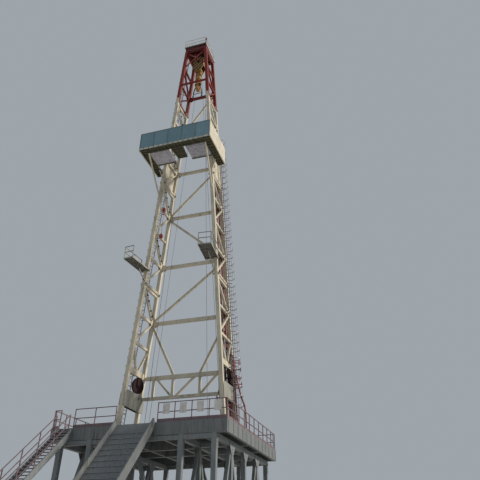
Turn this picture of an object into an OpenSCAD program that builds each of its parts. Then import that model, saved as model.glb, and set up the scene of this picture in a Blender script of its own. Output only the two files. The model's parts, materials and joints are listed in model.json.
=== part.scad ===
// Oil drilling rig with an open-front mast, scale model at 1:2.
// Millimetres, +Z up, ground at Z = 0, front (ramp side) towards -Y, +X to the right seen from the front.

/* [Mast] */
// height from the drill floor to the top of the crown beams
mast_h = 21000; // [18000:100:23000]
// distance between the left and right leg centres at the drill floor
foot_w = 4130; // [3600:10:4600]
// distance between the left and right leg centres at the crown
top_w = 1100; // [900:10:1400]
// distance between the front and rear leg centres at the drill floor
foot_d = 1360; // [1100:10:1600]
// distance between the front and rear leg centres at the crown
top_d = 1160; // [900:10:1300]
// outer size of the square leg section
leg_s = 150; // [120:5:200]
// height of the lowest main level of the mast above the floor
first_level = 4850; // [4400:50:5200]
// height of the rear beam and the deep foot struts above the floor
knee_h = 2540; // [2300:10:2800]
// depth of the deep foot strut of each side frame
knee_deep = 210; // [160:10:260]
// depth of a side frame strut
strut_w = 100; // [70:5:140]
// depth of a side frame diagonal
brace_w = 80; // [60:5:120]
// thickness of the side frame struts and diagonals, across the frame
strut_t = 90; // [60:5:140]
// gap between the two end struts that meet at a section joint
joint_gap = 70; // [20:5:120]
// diameter of the pins that join the mast sections
pin_d = 60; // [40:5:90]
// depth of a rear cross beam
beam_h = 160; // [120:5:220]
// thickness of a rear cross beam
beam_t = 90; // [60:5:140]
// depth of the rear diagonals
rear_brace_w = 95; // [70:5:130]
// height of the bottom chord of the lower rear truss above the floor
low_chord_h = 1750; // [1500:10:2100]

/* [Crown] */
// depth of the crown beams
crown_beam_h = 250; // [180:10:320]
// overhang of the crown deck beyond the leg centres
crown_over = 100; // [50:5:200]
// thickness of deck plates
deck_t = 20; // [10:1:30]
// height of the guard rails above a deck
rail_h = 550; // [500:10:600]
// outer diameter of the rope sheaves
sheave_d = 600; // [500:5:760]
// width of one rope sheave
sheave_w = 48; // [36:1:60]
// number of sheaves in the crown block
sheave_n = 6; // [4:1:7]
// distance between neighbouring sheaves
sheave_pitch = 60; // [50:1:75]
// diameter of the drilling line
rope_d = 16; // [12:1:20]

/* [Racking board] */
// height of the underside of the racking board above the floor
board_h = 12200; // [11500:50:12800]
// half width of the racking board over its windbreak
board_x = 1725; // [1600:5:1850]
// distance of the board's front edge ahead of the front legs
board_front = 1725; // [1500:5:1900]
// distance of the board's rear ends behind the front legs
board_back = 400; // [200:5:420]
// width of the walkways
walk_w = 340; // [300:5:400]
// depth of the board's frame beams
board_beam = 90; // [70:5:120]
// height of the windbreak
wind_h = 975; // [850:5:1050]
// thickness of the windbreak panels
wind_t = 20; // [12:1:30]
// number of windbreak panels on the front
wind_n = 5; // [4:1:7]
// number of pipe fingers on each side
finger_n = 9; // [6:1:11]
// width of one pipe finger
finger_w = 30; // [20:1:40]

/* [Ladders and platforms] */
// clear width between the ladder side rails
ladder_w = 230; // [200:5:260]
// distance between rungs
rung_pitch = 150; // [125:5:175]
// inner diameter of the ladder cage
cage_d = 370; // [340:5:400]
// distance between cage hoops
hoop_pitch = 350; // [300:10:500]
// top of the right ladder above the floor
right_ladder_h = 14200; // [13000:50:15000]
// height of the small work platforms above the floor
work_h = 6850; // [6600:25:7100]
// length of a small work platform
work_l = 1200; // [1000:10:1300]
// width of a small work platform
work_w = 560; // [450:10:650]

/* [Travelling block] */
// width of the travelling block
block_w = 650; // [560:5:720]
// height of the travelling block
block_h = 1150; // [1000:10:1300]
// thickness of the travelling block over its side plates
block_t = 400; // [360:5:480]
// thickness of the block's side guards
guard_t = 16; // [10:1:20]
// gap between the crown sheaves and the block at its highest place
block_gap = 180; // [120:10:400]
// length of the hook from the block to its lowest point
hook_l = 1500; // [1300:10:1700]
// diameter of the hook's spring barrel
barrel_d = 350; // [280:10:400]
// length of the elevator links
link_l = 950; // [800:10:1400]

/* [Floor and substructure] */
// height of the drill floor above the ground
floor_z = 4500; // [3750:50:5250]
// half width of the drill floor
floor_x = 3000; // [2800:10:3200]
// distance of the floor's front edge ahead of the front legs
front_margin = 2500; // [2300:10:2700]
// distance of the floor's rear edge behind the front legs
rear_margin = 3500; // [3300:10:3700]
// depth of the floor beams
floor_beam = 380; // [300:10:450]
// width of a substructure box
box_w = 1200; // [1000:10:1400]
// section of the substructure posts and chords
box_s = 150; // [120:5:180]
// width of the gap for the ramp in the front rail
door_w = 1450; // [1300:10:1600]
// horizontal reach of the ramp in front of the floor
ramp_reach = 4300; // [3800:50:4800]
// horizontal reach of the stair in front of the floor
stair_reach = 5000; // [4600:50:5600]
// clear width of the stair
stair_w = 450; // [400:10:520]
// distance between the posts of the floor rail
post_pitch = 600; // [450:10:750]
// width of a plate on the floor rail
plate_w = 225; // [180:5:260]
// height of a plate on the floor rail
plate_h = 310; // [250:5:360]
// clear bore of the rotary table
rotary_bore = 350; // [280:5:450]
// diameter of the drawworks drum
drum_d = 350; // [280:5:420]
// diameter of the raising sheaves
raise_d = 600; // [500:5:620]
// outer diameter of the standpipe
pipe_d = 75; // [55:1:90]

/* [Hidden] */
$fn = 32;
eps = 0.01;
mast_y = (front_margin + stair_reach - rear_margin) / 2;
front_y = mast_y - front_margin;
rear_y = mast_y + rear_margin;
lean = (foot_w - top_w) / 2 / mast_h;
slope = sqrt(1 + lean * lean);
well_y = mast_y + top_d / 2;
tube = 25;
seat = 0.2;
half_bay = (mast_h - crown_beam_h - first_level) / 12;
ivory = "Ivory";
red = "Firebrick";
grey = "DimGray";
dark = [0.2, 0.2, 0.22];
ochre = "Goldenrod";
maroon = "Maroon";
brown = "Sienna";

// main levels of the side frames, from the lowest up
function level(k) = first_level + k * half_bay;
function mix(a, b, t) = a + (b - a) * t;
function half_w(h) = mix(foot_w, top_w, h / mast_h) / 2;
function depth(h) = mix(foot_d, top_d, h / mast_h);
// centre of a leg: s is -1 left or 1 right, r is 0 front or 1 rear, h is the height above the floor
function leg(s, r, h) = [s * half_w(h), mast_y + r * depth(h), floor_z + h];
function joint_h(i) = [0, level(1), level(5), level(9), mast_h - crown_beam_h][i];

// square bar from a to b: w across, t along the direction n
module bar(a, b, w, t, n = [1, 0, 0]) {
    d = (b - a) / norm(b - a);
    u = cross(n, d) / norm(cross(n, d));
    v = cross(d, u);
    multmatrix([[u.x, v.x, d.x, a.x], [u.y, v.y, d.y, a.y], [u.z, v.z, d.z, a.z], [0, 0, 0, 1]])
        translate([-w / 2, -t / 2, 0]) cube([w, t, norm(b - a)]);
}

// round bar from a to b
module rod(a, b, d) {
    v = b - a;
    l = norm(v);
    translate(a) rotate([0, acos(v.z / l), atan2(v.y, v.x)]) cylinder(d = d, h = l);
}

// places its children on the outside of a side frame: x outwards, y to the rear, z up along the frame
module on_side(s) {
    multmatrix([[s / slope, 0, -s * lean / slope, s * foot_w / 2], [0, 1, 0, mast_y],
                [lean / slope, 0, 1 / slope, floor_z], [0, 0, 0, 1]]) children();
}

function side_normal(s) = [s, 0, lean];
module leg_bar(s, r, h0, h1, grow = 0) {
    bar(leg(s, r, h0), leg(s, r, h1), leg_s + grow, leg_s + grow, side_normal(s));
}

// strut between the front and rear legs of one side
module side_strut(s, h, w = strut_w) {
    bar(leg(s, 0, h), leg(s, 1, h), w, strut_t, side_normal(s));
}

module side_brace(s, h_front, h_rear) {
    bar(leg(s, 0, h_front), leg(s, 1, h_rear), brace_w, strut_t - 10, side_normal(s));
}

module side_section(s, i) {
    h0 = joint_h(i);
    h1 = joint_h(i + 1);
    first = i == 0 ? 0 : 4 * i - 3 + 1;
    last = i == 3 ? 11 : 4 * i;
    end = joint_gap / 2 + strut_w / 2;
    union() {
        for (r = [0, 1]) leg_bar(s, r, i == 0 ? foot_h / 2 : h0 + seat, h1 + (i == 3 ? 30 : 0));
        if (i > 0) side_strut(s, h0 + end);
        if (i < 3) side_strut(s, h1 - end);
        if (i == 3) side_strut(s, h1 - strut_w / 2 - 15);
        for (k = [first:last]) if (level(k) < h1 - strut_w) side_strut(s, level(k));
        for (k = [0:2:10]) {
            if (level(k) > h0 && level(k) < h1) {
                if (k > 0) side_brace(s, max(level(k - 1), h0 + end), level(k));
                side_brace(s, min(level(k + 1), h1 - (i == 3 ? 0 : end)), level(k));
            }
        }
        if (i == 0) {
            side_strut(s, knee_h + knee_rise, knee_deep);
            side_strut(s, mid_h);
            side_brace(s, mid_h, level(0));
            mid = (leg(s, 0, knee_h) + leg(s, 1, knee_h)) / 2;
            for (r = [0, 1]) bar(mid, leg(s, r, mid_h), brace_w, strut_t - 10, side_normal(s));
            for (r = [0, 1]) foot(s, r);
        }
    }
}
mid_h = (knee_h + first_level) / 2;
knee_rise = knee_deep / 3;
foot_h = 260;

shoe_t = 40;
foot_w2 = leg_s / 2 + 20;

// upright block at the foot of a leg, which stands in its shoe
module foot(s, r) {
    p = leg(s, r, foot_h / 2);
    translate([p.x - foot_w2, p.y - leg_s / 2 - 10, floor_z + shoe_t])
        cube([2 * foot_w2, leg_s + 20, foot_h - shoe_t]);
}

// top section, cut level where the crown frame sits on it
module top_section(s) {
    difference() {
        side_section(s, 3);
        translate([-top_w, mast_y - top_d, crown_z - crown_beam_h]) cube([2 * top_w, 3 * top_d, 200]);
    }
}

module left_lower_frame() color(ivory) side_section(-1, 0);
module right_lower_frame() color(ivory) side_section(1, 0);
module left_second_frame() color(ivory) side_section(-1, 1);
module right_second_frame() color(ivory) side_section(1, 1);
module left_third_frame() color(ivory) side_section(-1, 2);
module right_third_frame() color(ivory) side_section(1, 2);
module left_top_frame() color(red) top_section(-1);
module right_top_frame() color(red) top_section(1);

// the four legs, grown by the gap that keeps welded pieces apart
module all_legs(h0, h1) {
    for (s = [-1, 1], r = [0, 1]) leg_bar(s, r, h0, h1, 2 * seat);
}

// sheet between the legs of each side frame that shelters the racking board
wall_t = 12;

module side_walls() {
    h0 = joint_h(2) + strut_w;
    h1 = board_h + wind_h;
    color(ivory) difference() {
        for (s = [-1, 1]) on_side(s) translate([strut_t / 2 + seat, 0, 0]) rotate([90, 0, 90]) linear_extrude(height = wall_t)
            polygon([[0, h0 * slope], [depth(h0), h0 * slope], [depth(h1), h1 * slope], [0, h1 * slope]]);
        all_legs(h0 - 300, h1 + 300);
        ladder_brackets(-1, left_ladder_y, mast_h, 2 * seat);
        ladder_brackets(1, right_ladder_y, right_ladder_h, 2 * seat);
    }
}

// cross beam between two legs, with its ends tapered
module cross_beam(r, h, d, t) {
    w = half_w(h);
    taper = 2 * d;
    translate([0, mast_y + r * depth(h) + t / 2, floor_z + h]) rotate([90, 0, 0])
        linear_extrude(height = t)
            polygon([[-w, -d * 0.35], [-w + taper, -d / 2], [w - taper, -d / 2], [w, -d * 0.35],
                     [w, d * 0.35], [w - taper, d / 2], [-w + taper, d / 2], [-w, d * 0.35]]);
}

module rear_beams() {
    color(ivory) difference() {
        for (k = [0:2:8]) cross_beam(1, level(k), beam_h, beam_t);
        all_legs(level(0) - 300, level(8) + 300);
    }
}

module top_section_bracing() {
    color(red) difference() {
        union() for (r = [0, 1]) cross_beam(r, level(10), beam_h * (r == 1 ? 1 : 0.6), beam_t * (r == 1 ? 1 : 0.8));
        all_legs(level(9), level(11));
    }
    color(red) difference() {
        union() for (s = [-1, 1])
            bar(leg(s, 0, level(11) + 30), leg(-s, 0, level(12) - 30), 0.7 * brace_w, 0.5 * strut_t, [0, 1, 0]);
        all_legs(level(10), mast_h);
    }
}

// diagonals of the rear face: each climbs from one side to the other over a whole bay
module rear_diagonals() {
    color(ivory) difference() {
        for (k = [0:2:8]) {
            s = (k / 2) % 2 == 0 ? -1 : 1;
            bar(leg(s, 1, level(k) + 60), leg(-s, 1, level(k + 2) - 60), rear_brace_w, beam_t - 20, [0, 1, 0]);
        }
        for (s = [-1, 1]) bar(leg(s, 1, level(0) - 60), [s * truss_in, mast_y + depth(knee_h), floor_z + knee_h],
            rear_brace_w, beam_t - 20, [0, 1, 0]);
        for (k = [0:2:10]) cross_beam(1, level(k), beam_h, beam_t);
        cross_beam(1, knee_h, beam_h, beam_t);
        all_legs(knee_h, level(10) + 300);
    }
}

truss_h = 0.75 * beam_h;
truss_in = 575;

module lower_rear_truss() {
    w0 = half_w(low_chord_h);
    w1 = half_w(knee_h);
    y0 = mast_y + depth(low_chord_h);
    y1 = mast_y + depth(knee_h);
    color(ivory) difference() {
        union() {
            cross_beam(1, low_chord_h, truss_h, beam_t);
            cross_beam(1, knee_h, beam_h, beam_t);
            for (x = [-0.75 * w1, -truss_in, truss_in, 0.75 * w1])
                bar([x, y0, floor_z + low_chord_h], [x, y1, floor_z + knee_h], strut_w, beam_t - 10, [0, 1, 0]);
            for (s = [-1, 1]) {
                bar([s * 0.7 * w1, y1, floor_z + knee_h], [s * truss_in, y0, floor_z + low_chord_h], brace_w,
                    beam_t - 20, [0, 1, 0]);
            }
            bar([truss_in * 0.7, y1, floor_z + knee_h], [-truss_in * 0.8, y0, floor_z + low_chord_h], brace_w,
                beam_t - 20, [0, 1, 0]);
        }
        all_legs(0, level(1));
    }
}

// pins with heads through the legs at the section joints
module section_pins() {
    color(grey) difference() {
        for (s = [-1, 1], r = [0, 1], i = [1:3]) translate(leg(s, r, joint_h(i))) rotate([0, 90, 0]) union() {
            cylinder(d = 2 * pin_d, h = leg_s + 48, center = true);
            cylinder(d = pin_d, h = leg_s + 90, center = true);
        }
        all_legs(level(0), level(10));
    }
}

crown_z = floor_z + mast_h;
crown_x = top_w / 2 + leg_s / 2;
crown_y0 = mast_y - leg_s / 2;
crown_y1 = mast_y + depth(mast_h - crown_beam_h) + leg_s / 2;
shaft_z = crown_z + 150;
bed_gap = sheave_n * sheave_pitch / 2 + 60;
bed_t = 110;
shaft_d = 110;
guide_x = -130;
deck_y1 = crown_y1 + crown_over;
guide_sheave_d = 0.75 * sheave_d;
guide_y = deck_y1 + guide_sheave_d / 2 + 30;
guide_d = 80;
arm_l = guide_y + 100 - crown_y1;

// the two arms behind the crown that carry the fast line's sheave
module arms(x, w) {
    for (e = [-1, 1]) translate([guide_x + e * x - w / 2, 0, 0]) children();
}

module crown_frame() {
    z0 = crown_z - crown_beam_h;
    color(maroon) union() {
        for (s = [-1, 1])
            translate([s * (crown_x - leg_s / 2) - leg_s / 2, crown_y0, z0]) cube([leg_s, crown_y1 - crown_y0, crown_beam_h]);
        for (y = [crown_y0, crown_y1 - leg_s])
            translate([-crown_x, y, z0]) cube([2 * crown_x, leg_s, crown_beam_h]);
        for (e = [-1, 1])
            translate([-crown_x, well_y + e * (bed_gap + bed_t / 2) - bed_t / 2, z0]) cube([2 * crown_x, bed_t, crown_beam_h]);
        arms(75, 60) translate([0, crown_y1 - 20, z0]) rotate([90, 0, 90]) linear_extrude(height = 60)
            polygon([[0, 0], [arm_l + 20, crown_beam_h - 120], [arm_l + 20, crown_beam_h], [0, crown_beam_h]]);
    }
}

module bearings() {
    for (e = [-1, 1]) translate([0, well_y + e * (bed_gap + bed_t / 2), shaft_z]) rotate([90, 0, 0]) {
        cylinder(d = 200, h = bed_t, center = true);
        translate([-110, -(shaft_z - crown_z), -bed_t / 2]) cube([220, shaft_z - crown_z, bed_t]);
    }
}

// bearing blocks with the crown shaft, and those of the fast line's sheave
module crown_bearings() {
    color(grey) union() {
        bearings();
        translate([0, well_y, shaft_z]) rotate([90, 0, 0])
            cylinder(d = shaft_d, h = 2 * (bed_gap + bed_t) + 20, center = true);
    }
    color(grey) union() {
        arms(75, 50) translate([0, guide_y - 80, crown_z]) cube([50, 160, shaft_z - crown_z + 60]);
        translate([guide_x, guide_y, shaft_z]) rotate([0, 90, 0]) cylinder(d = guide_d, h = 240, center = true);
    }
}

// one grooved sheave lying on its own axis z, with its bore
module sheave(d, w, bore) {
    difference() {
        rotate_extrude()
            polygon([[bore / 2, -w / 2], [0.3 * d / 2, -w / 2], [0.34 * d / 2, -w / 5], [0.8 * d / 2, -w / 5],
                     [0.84 * d / 2, -w / 2], [d / 2, -w / 2], [d / 2, -w / 2 + 4], [d / 2 - rope_d, -rope_d / 2],
                     [d / 2 - rope_d, rope_d / 2], [d / 2, w / 2 - 4], [d / 2, w / 2], [0.84 * d / 2, w / 2],
                     [0.8 * d / 2, w / 5], [0.34 * d / 2, w / 5], [0.3 * d / 2, w / 2], [bore / 2, w / 2]]);
        for (a = [0:60:359]) rotate(a) translate([0.57 * d / 2, 0, 0]) cylinder(d = 0.13 * d, h = 2 * w, center = true);
    }
}

function crown_row(i) = well_y + (i - (sheave_n - 1) / 2) * sheave_pitch;
function block_row(i) = well_y + (i - (block_sheaves - 1) / 2) * sheave_pitch;

// crown sheaves, and the sheave that turns the fast line down to the drawworks
module crown_sheaves() {
    color(dark) {
        for (i = [0:sheave_n - 1]) translate([0, crown_row(i), shaft_z]) rotate([90, 0, 0])
            sheave(sheave_d, sheave_w, shaft_d);
        translate([guide_x, guide_y, shaft_z]) rotate([0, 90, 0]) sheave(guide_sheave_d, sheave_w, guide_d);
    }
}

deck_x = top_w / 2 + crown_over;
deck_y0 = mast_y - leg_s / 2 - crown_over;
ladder_gap = [300, 950];

module crown_platform() {
    color(grey) difference() {
        translate([-deck_x, deck_y0, crown_z]) cube([2 * deck_x, deck_y1 - deck_y0, deck_t]);
        translate([-sheave_d / 2 - 40, well_y - bed_gap - bed_t - 20, crown_z - 1])
            cube([sheave_d + 80, 2 * (bed_gap + bed_t + 20), deck_t + 2]);
    }
}

// guard rail along a run of points: posts at the points, a top rail and a middle rail
module guard(pts, h, t = tube) {
    for (p = pts) translate([p.x - t / 2, p.y - t / 2, p.z]) cube([t, t, h]);
    for (i = [0:len(pts) - 2], f = [0.52, 1])
        bar(pts[i] + [0, 0, f * h - t / 2], pts[i + 1] + [0, 0, f * h - t / 2], t - 2, t - 2, [0, 0, 1]);
}

// gap between the corner posts of two rail sections
rail_cut = 50;

module crown_rails() {
    z = crown_z + deck_t;
    x = deck_x - tube;
    y0 = deck_y0 + tube;
    y1 = deck_y1 - tube;
    ym = (y0 + y1) / 2;
    color("WhiteSmoke") {
        guard([[-x, mast_y + ladder_gap[1], z], [-x, mix(mast_y + ladder_gap[1], y1, 0.5), z], [-x, y1, z]], rail_h);
        guard([[-x + rail_cut, y1, z], [0, y1, z], [x - rail_cut, y1, z]], rail_h);
        guard([[x, y1, z], [x, ym, z], [x, y0, z]], rail_h);
        guard([[-x + rail_cut, y0, z], [0, y0, z], [x - rail_cut, y0, z]], rail_h);
        guard([[-x, y0, z], [-x, mast_y + ladder_gap[0], z]], rail_h);
    }
}

// racking board: front walkway and two side walkways on a frame of beams
board_z = floor_z + board_h;
walk_in = board_x - walk_w;
dive_y = -600;

module board_plan(inset = 0) {
    y0 = -board_front + inset;
    polygon([[-board_x + inset, y0], [board_x - inset, y0], [board_x - inset, board_back - inset],
             [walk_in + inset, board_back - inset], [walk_in + inset, -board_front + walk_w - inset],
             [-walk_in - inset, -board_front + walk_w - inset], [-walk_in - inset, board_back - inset],
             [-board_x + inset, board_back - inset]]);
}

// walkways round the front and both sides, with the diving board in the middle
module racking_board() {
    y0 = -board_front + walk_w - eps;
    color(grey) translate([0, mast_y, board_z]) union() {
        difference() {
            linear_extrude(height = board_beam) board_plan();
            translate([0, 0, -1]) linear_extrude(height = board_beam - deck_t + 1) board_plan(25);
        }
        for (s = [-1, 1]) {
            for (y = [-1100:500:board_back - 100]) translate([s > 0 ? walk_in : -board_x, y, 10]) cube([walk_w, 25, board_beam - deck_t]);
            for (x = [300, 900]) translate([s * x - 12, -board_front, 10]) cube([25, walk_w, board_beam - deck_t]);
        }
        translate([0, 0, 20]) linear_extrude(height = board_beam - 20) difference() {
            polygon([[-300, y0], [300, y0], [230, dive_y], [-230, dive_y]]);
            polygon([[-270, y0 + 30], [270, y0 + 30], [205, dive_y - 30], [-205, dive_y - 30]]);
        }
        translate([0, 0, board_beam - deck_t]) linear_extrude(height = deck_t)
            polygon([[-300, y0], [300, y0], [230, dive_y], [-230, dive_y]]);
    }
}

module board_brackets() {
    color(ivory) difference() {
        for (s = [-1, 1]) {
            translate([s > 0 ? half_w(board_h) : -walk_in, mast_y - 40, board_z]) cube([walk_in - half_w(board_h), 80, board_beam - 10]);
            bar([s * (walk_in + 20), mast_y - 1380, board_z + 30], leg(s, 0, board_h - 1700), 60, 60, [0, 1, 0]);
            bar([s * (walk_in + 60), mast_y - 100, board_z + 30], leg(s, 0, board_h - 600), 50, 50, [0, 1, 0]);
        }
        all_legs(level(3), level(7));
        for (s = [-1, 1]) translate([s > 0 ? walk_in : -board_x, mast_y - board_front, board_z])
            cube([walk_w, board_front + board_back, 200]);
        translate([-board_x, mast_y - board_front, board_z]) cube([2 * board_x, walk_w, 200]);
    }
}

finger_y0 = -board_front + walk_w;
finger_y1 = -480;
finger_pitch = (finger_y1 - finger_y0) / (finger_n + 1);
finger_tip = 400;

module racking_fingers() {
    color(ivory) translate([0, mast_y, board_z + 15]) for (s = [-1, 1]) union() {
        for (i = [1:finger_n]) translate([s > 0 ? finger_tip : -walk_in, finger_y0 + i * finger_pitch - finger_w / 2, 0])
            cube([walk_in - finger_tip, finger_w, 60]);
    }
    color(grey) translate([0, mast_y, board_z + 15]) for (s = [-1, 1]) union() {
        translate([s > 0 ? finger_tip : -walk_in, finger_y1, -10]) cube([walk_in - finger_tip, 60, 80]);
        for (i = [0:7]) translate([s * (finger_tip + 15 + i * 80) - 15, finger_y1 - 50, 5]) cube([30, 50 + eps, 50]);
    }
}

// windbreak panels with upright stiffeners at the seams
module wind_panel(l, n, first = 0) {
    z0 = board_beam + 10;
    cube([l, wind_t, wind_h]);
    for (i = [0:n]) translate([first + i * (l - first - 30) / n, wind_t - eps, z0]) cube([30, 30, wind_h - z0]);
}

module front_windbreak() {
    color("SteelBlue") translate([-board_x, mast_y - board_front - wind_t, board_z - 10]) union() wind_panel(2 * board_x, wind_n);
}

module side_windbreaks() {
    l = board_front + board_back;
    color(ivory) for (s = [-1, 1]) union()
        translate([s * (board_x + wind_t), mast_y - board_front, board_z - 10]) mirror([s > 0 ? 0 : 1, 0, 0])
            rotate(90) wind_panel(l, 3, 40);
}

// ladder on a side frame: side rails and rungs, held off the legs by brackets
stand = 110;
cage_set = 110;

module ladder(s, y, h0, h1) {
    x = leg_s / 2 + stand;
    on_side(s) translate([x, y, 0]) union() {
        for (e = [-1, 1]) translate([-15, e * ladder_w / 2 + (e > 0 ? 0 : -10), h0]) cube([30, 10, h1 - h0]);
        for (z = [h0 + rung_pitch:rung_pitch:h1 - 30]) translate([-6, -ladder_w / 2, z]) cube([12, ladder_w, 12]);
    }
}

// brackets that hold a ladder to the struts of the side frame
module ladder_brackets(s, y, h1, grow = 0) {
    on_side(s) for (k = [-1:11]) {
        h = (k < 0 ? knee_h : level(k)) * slope;
        if (h < h1 && k != 1 && k != 5 && k != 9)
            for (e = [-1, 1]) translate([strut_t / 2, y + e * (ladder_w / 2 + 15) - 5 - grow, h - 20 - grow])
                cube([leg_s / 2 + stand - strut_t / 2, 10 + 2 * grow, 40 + 2 * grow]);
    }
}

hoop_a = 125;
hoop_n = 10;
hoop_t = 6;

// outline of one hoop: a bent flat bar whose ends meet the ladder's side rails
module hoop_outline() {
    r = cage_d / 2;
    a = [for (i = [0:hoop_n]) -hoop_a + 2 * hoop_a * i / hoop_n];
    end = ladder_w / 2 + 10;
    polygon(concat([[-cage_set, -end]], [for (t = a) (r + hoop_t) * [cos(t), sin(t)]], [[-cage_set, end]],
        [[-cage_set + hoop_t, end]], [for (i = [0:hoop_n]) let(t = a[hoop_n - i]) r * [cos(t), sin(t)]],
        [[-cage_set + hoop_t, -end]]));
}

module cage_part(h0, h1) {
    n = max(1, round((h1 - h0) / hoop_pitch));
    step = (h1 - h0 - 30) / n;
    flat = (cage_d / 2 + hoop_t) * cos(hoop_a / hoop_n);
    union() {
        for (i = [0:n]) translate([0, 0, h0 + i * step]) linear_extrude(height = 30) hoop_outline();
        for (k = [0.5, 2.5, 4.5, 5.5, 7.5, 9.5]) rotate(-hoop_a + 2 * hoop_a * k / hoop_n)
            translate([flat - 5, -12, h0 - 5]) cube([4, 24, h1 - h0 + 10]);
    }
}

module cage(s, y, h0, h1) {
    on_side(s) translate([leg_s / 2 + stand + cage_set, y, 0])
        for (i = [0:3]) {
            a = max(h0, i == 0 ? 0 : joint_h(i) * slope + 150);
            b = min(h1, joint_h(i + 1) * slope - 150);
            if (b - a > hoop_pitch) cage_part(a, b);
        }
}

left_ladder_y = 620;
right_ladder_y = 960;

module left_ladder() color("Silver") union() { ladder(-1, left_ladder_y, 0, mast_h + 500); ladder_brackets(-1, left_ladder_y, mast_h); }
module right_ladder() color("Silver") union() { ladder(1, right_ladder_y, 0, right_ladder_h); ladder_brackets(1, right_ladder_y, right_ladder_h); }
module left_cage() color("Silver") cage(-1, left_ladder_y, 1100, mast_h * slope + 100);
module right_cage() color("Silver") cage(1, right_ladder_y, 1100, right_ladder_h);

// small work platform in front of a front leg, turned a little towards the middle
module work_platform(side, h, w, l, out) {
    p = leg(side, 0, h);
    translate([p.x, mast_y - leg_s / 2, floor_z + h]) rotate(side * work_turn) difference() {
        union() {
            translate([-w / 2 + out, -l, 0]) difference() {
                cube([w, l + 60, 60]);
                translate([20, 20, -1]) cube([w - 40, l, 60 - deck_t + 1]);
            }
            translate([-w / 2 + out, -0.55 * l, 10]) cube([w, 30, 40]);
            xr = out + side * (w - tube) / 2;
            xi = out - side * (w - tube) / 2;
            guard([[xi, -l + tube / 2, 60], [xr, -l + tube / 2, 60], [xr, -l / 2, 60], [xr, -tube, 60]], rail_h - 25);
            bar([out, -0.5 * l, 30], [0, leg_s / 2, level(1) + 60 - h], 40, 40, [0, 1, 0]);
        }
        rotate(-side * work_turn) translate(-[p.x, mast_y - leg_s / 2, floor_z + h])
            leg_bar(side, 0, level(0), work_h + 1000, 2 * seat);
    }
}
work_turn = 6;
left_work_h = work_h - 130;

module left_work_platform() color("Silver") work_platform(-1, left_work_h, 0.78 * work_w, work_l + 80, -35);
module right_work_platform() color("Silver") work_platform(1, work_h, work_w, work_l, -150);

// standpipe and cement line inside the right side frame, with the manifold and the gooseneck
pipe_top = board_h - 900;
pipe_in = -leg_s / 2 - pipe_d - 40;
pipe_y = foot_d - 360;
branch = 260;

module valve(h) {
    translate([0, 0, h]) {
        cylinder(d = 1.9 * pipe_d, h = 130, center = true);
        for (e = [-1, 1]) translate([0, 0, e * 85]) cylinder(d = 2.1 * pipe_d, h = 28, center = true);
    }
}

module standpipe() {
    bend = 200;
    low = 900;
    high = low + 1150;
    color(brown) difference() {
        on_side(1) translate([pipe_in, pipe_y, 0]) union() {
            translate([0, 0, -20]) cylinder(d = pipe_d, h = pipe_top + 20);
            for (h = [low + 270, high - 320]) valve(h);
            translate([0, -branch, low]) cylinder(d = pipe_d, h = high - low);
            translate([0, -branch, 0]) valve((low + high) / 2);
            for (h = [low + pipe_d / 2, high - pipe_d / 2]) translate([0, 0, h]) rotate([90, 0, 0]) cylinder(d = pipe_d, h = branch);
            translate([0, -bend, pipe_top]) rotate([0, -90, 0]) rotate_extrude(angle = 90) translate([bend, 0]) circle(d = pipe_d);
            translate([0, -bend, pipe_top + bend]) rotate([90, 0, 0]) cylinder(d = 1.3 * pipe_d, h = 160);
            translate([0, 1.3 * pipe_d, -20]) cylinder(d = pipe_d, h = pipe_top - 600);
            translate([0, 1.3 * pipe_d, pipe_top - 640]) cylinder(d = 1.3 * pipe_d, h = 100);
            for (k = [0:4]) translate([0, -pipe_d / 2 - 15, level(k) * slope - 25])
                cube([-pipe_in - strut_t / 2 - seat, 2.3 * pipe_d + 30, 50]);
        }
        translate([0, 0, floor_z - 500]) cube([foot_w, rear_y, 500]);
    }
}

// travelling block hung on the lines from the crown
block_top = shaft_z - sheave_d / 2 - block_gap;
block_z = block_top - block_h;
axle_z = block_top - 0.36 * block_h;
plate_t = 30;
block_sheaves = sheave_n - 1;

module block_outline() {
    w = block_w / 2;
    h = block_h;
    polygon([[-0.55 * w, 0], [0.55 * w, 0], [w, 0.3 * h], [w, 0.8 * h], [0.6 * w, h], [-0.6 * w, h], [-w, 0.8 * h], [-w, 0.3 * h]]);
}

module travelling_block() {
    color(ochre) translate([0, well_y, block_z]) difference() {
        union() {
            for (e = [-1, 1]) translate([0, e * (block_t / 2 - plate_t / 2) + plate_t / 2, 0]) rotate([90, 0, 0])
                linear_extrude(height = plate_t) block_outline();
            translate([-0.55 * block_w / 2, -block_t / 2, 0]) cube([0.55 * block_w, block_t, 0.12 * block_h]);
            for (s = [-1, 1]) translate([s * (block_w - guard_t) / 2 - guard_t / 2, -block_t / 2, 0.3 * block_h])
                cube([guard_t, block_t, 0.3 * block_h]);
            translate([-120, -block_t / 2, block_h - 60]) cube([240, block_t, 60]);
            for (s = [-1, 1]) translate([s * 120 - 25, -90, 40 - clevis_l]) cube([50, 180, clevis_l - 40 + eps]);
            translate([-145, -90, -clevis_l]) cube([290, 180, 60]);
        }
        translate([0, 0, axle_z - block_z]) rotate([90, 0, 0]) cylinder(d = shaft_d, h = 2 * block_t, center = true);
    }
}

module block_sheave_set() {
    color(dark) translate([0, well_y, axle_z]) union() {
        rotate([90, 0, 0]) cylinder(d = shaft_d, h = block_t + 30, center = true);
        for (i = [0:block_sheaves - 1]) translate([0, block_row(i) - well_y, 0]) rotate([90, 0, 0])
            sheave(sheave_d, sheave_w, shaft_d - 1);
    }
}

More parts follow.
